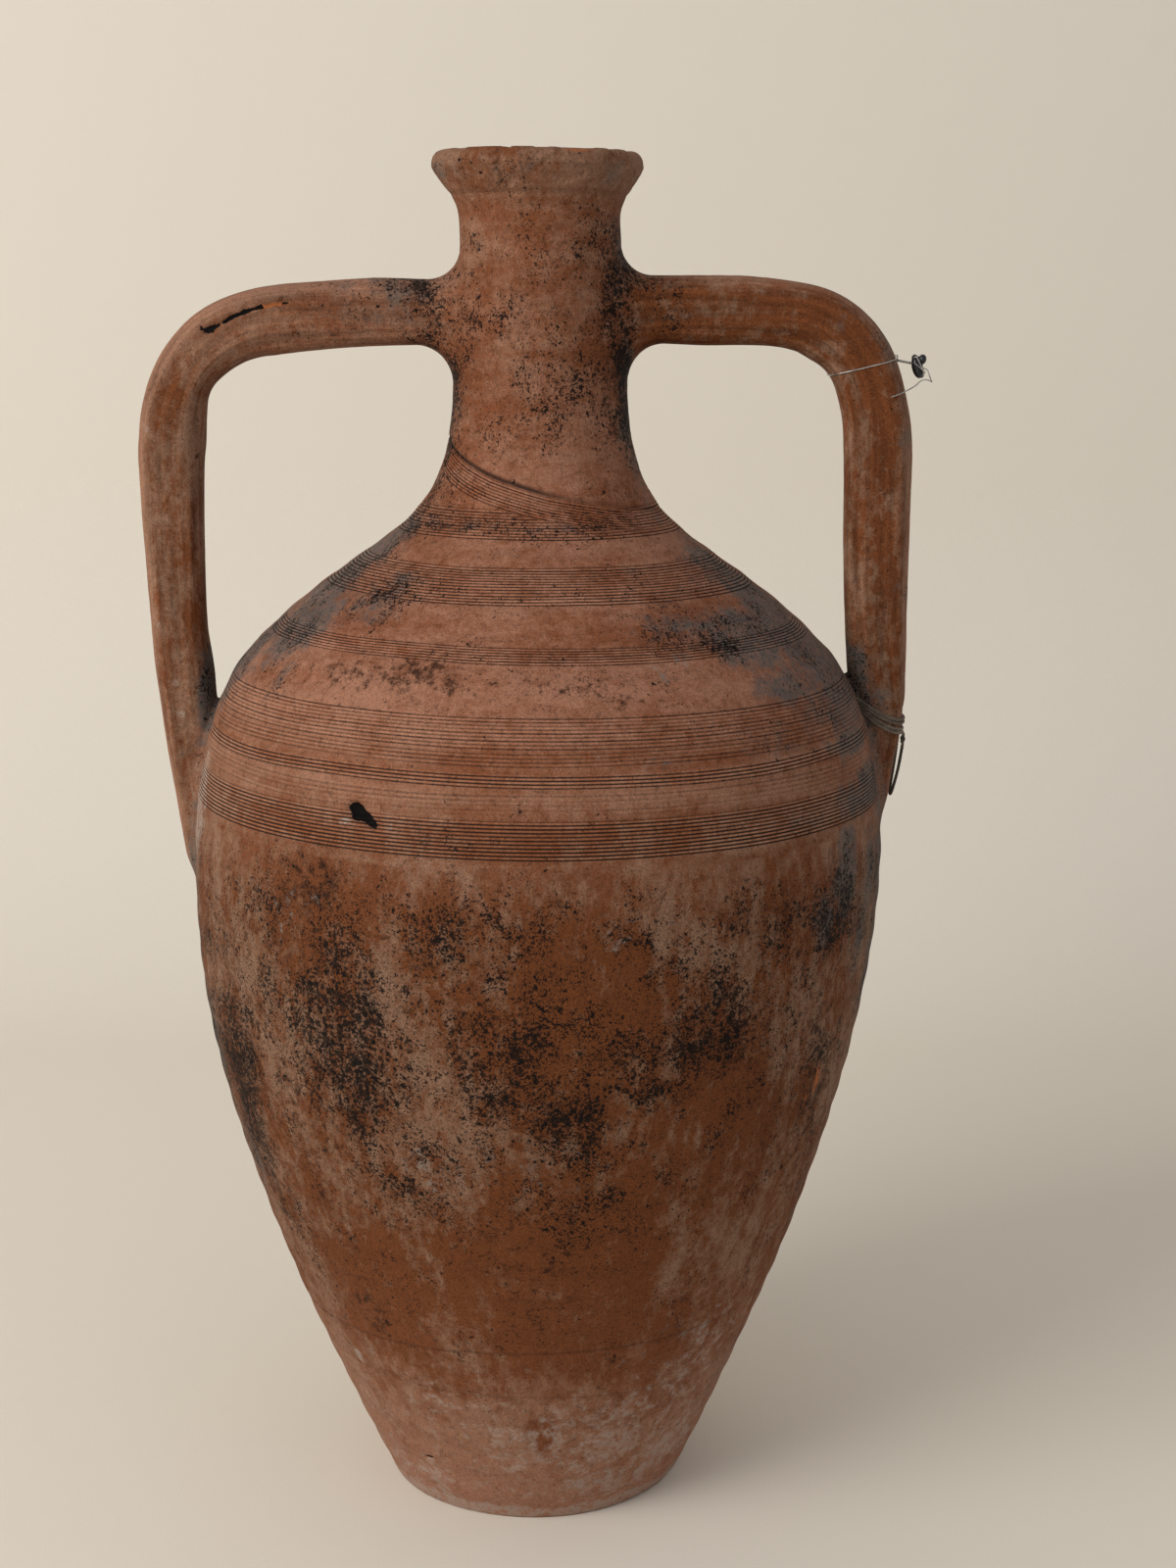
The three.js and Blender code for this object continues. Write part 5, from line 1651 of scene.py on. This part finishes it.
# %% The folded seal
SEAL_LOBES = [
    # middle relative to the seal's, half sizes and lean in degrees
    ((-0.5, 0.1, -0.3), (2.9, 2.7, 6.0), 14),
    ((1.9, -0.2, 3.4), (2.1, 2.4, 2.6), -10),
    ((1.6, 0.2, -3.2), (1.7, 2.3, 2.8), 10),
    ((-2.0, 0.0, 4.2), (1.6, 2.2, 1.7), 0),
]
SEAL_VOXEL = 0.22 * MM


def seal_surface(tree):
    colour, grain = clouds(tree, (0.012, 0.013, 0.016, 1), (0.004, 0.004, 0.005, 1))
    return {"Base Color": colour, "Roughness": 0.26, "Normal": bump(tree, grain * 0.00004)}


def lobe_mesh(centre, halves, lean, rows=24, sides=32):
    """A ball, stretched and leaned over."""
    fall = np.linspace(0, math.pi, rows + 1)[1:-1, None]
    turn = np.linspace(0, math.tau, sides, endpoint=False)[None, :]
    x, y = np.sin(fall) * np.cos(turn) * halves[0], np.sin(fall) * np.sin(turn) * halves[1]
    z = np.broadcast_to(np.cos(fall) * halves[2], x.shape)
    cos, sin = math.cos(math.radians(lean)), math.sin(math.radians(lean))
    rings = np.stack([x * cos - z * sin, y, x * sin + z * cos], axis=-1)
    poles = np.array([[-sin, 0, cos], [sin, 0, -cos]]) * halves[2]
    middle = np.array(centre) + SEAL_MIDDLE
    return capped_tube("lobe", rings + middle, poles + middle)


def folded_seal():
    points, faces = [], []
    for lobe_values in SEAL_LOBES:
        lobe = lobe_mesh(*lobe_values)
        faces += [[v + len(points) for v in p.vertices] for p in lobe.polygons]
        points += [tuple(v.co) for v in lobe.vertices]
        bpy.data.meshes.remove(lobe)
    made = place(mesh_from("folded_seal", points, faces), new_material("black_seal_plastic", seal_surface))
    melt = made.modifiers.new("melt", "REMESH")
    melt.mode = "VOXEL"
    melt.voxel_size = SEAL_VOXEL
    soften = made.modifiers.new("soften", "SMOOTH")
    soften.iterations = 5
    settle(made)
    made.data.shade_smooth()
    return hand_over(made, "seal", "seal_plastic", "seal")


seal = folded_seal()

# %% [markdown]
# ## Floor, backdrop and light
# The jar stands on a pale floor that sweeps up into a pale wall, so no edge shows behind it. Soft
# daylight comes from a large window at the front left. A weak fill from the right keeps the dark
# side readable, and the sky gives the rest.

# %% The pale sweep
SWEEP_RADIUS = 0.45
SWEEP_BACK = 1.15
SWEEP_HALF_WIDTH = 4.5
SWEEP_FRONT = -4.0
SWEEP_TOP = 4.0


def plaster_surface(tree):
    cloudy, _ = clouds(tree, (0.81, 0.755, 0.655, 1), (0.77, 0.715, 0.615, 1))
    colour = mixed(tree, 0.12, (0.79, 0.735, 0.635, 1), cloudy)
    return {"Base Color": colour, "Roughness": 0.95, "Specular IOR Level": 0.1}


def pale_sweep():
    arc = [(SWEEP_BACK - SWEEP_RADIUS * (1 - math.sin(a)), SWEEP_RADIUS * (1 - math.cos(a)))
           for a in np.linspace(0, math.pi / 2, 24)]
    profile = [(SWEEP_FRONT, 0.0)] + arc + [(SWEEP_BACK, SWEEP_TOP)]
    points = [(x, y, z) for y, z in profile for x in (-SWEEP_HALF_WIDTH, SWEEP_HALF_WIDTH)]
    faces = [(2 * i, 2 * i + 1, 2 * i + 3, 2 * i + 2) for i in range(len(profile) - 1)]
    return place(mesh_from("pale_sweep", points, faces), new_material("pale_plaster", plaster_surface))


sweep = pale_sweep()
sweep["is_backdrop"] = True


# %% Soft light from the front left
def soft_light(name, place_at, aim, width, height, power, colour):
    data = bpy.data.lights.new(name, "AREA")
    data.shape = "RECTANGLE"
    data.size, data.size_y = width, height
    data.energy = power
    data.color = colour
    made = bpy.data.objects.new(name, data)
    made.location = place_at
    made.rotation_euler = (Vector(aim) - Vector(place_at)).to_track_quat("-Z", "Y").to_euler()
    bpy.context.scene.collection.objects.link(made)


soft_light("window", (-1.9, -1.5, 1.5), (0, 0, 0.35), 1.6, 1.8, 53, (1.0, 0.97, 0.93))
soft_light("fill", (1.9, -1.6, 0.9), (0, 0, 0.35), 1.8, 1.8, 1.6, (0.95, 0.97, 1.0))
world = bpy.data.worlds.new("room")
world.use_nodes = True
world.node_tree.nodes["Background"].inputs["Color"].default_value = (0.95, 0.95, 1.0, 1)
world.node_tree.nodes["Background"].inputs["Strength"].default_value = 0.5
bpy.context.scene.world = world
bpy.context.scene.view_settings.view_transform = "Standard"

# %% Sizes, and the end
low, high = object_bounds()
triangles = sum(len(p.vertices) - 2 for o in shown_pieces() for p in o.data.polygons if o.type == "MESH")
print("visual box in mm:", [round(v / MM) for v in high - low], "triangles:", triangles)
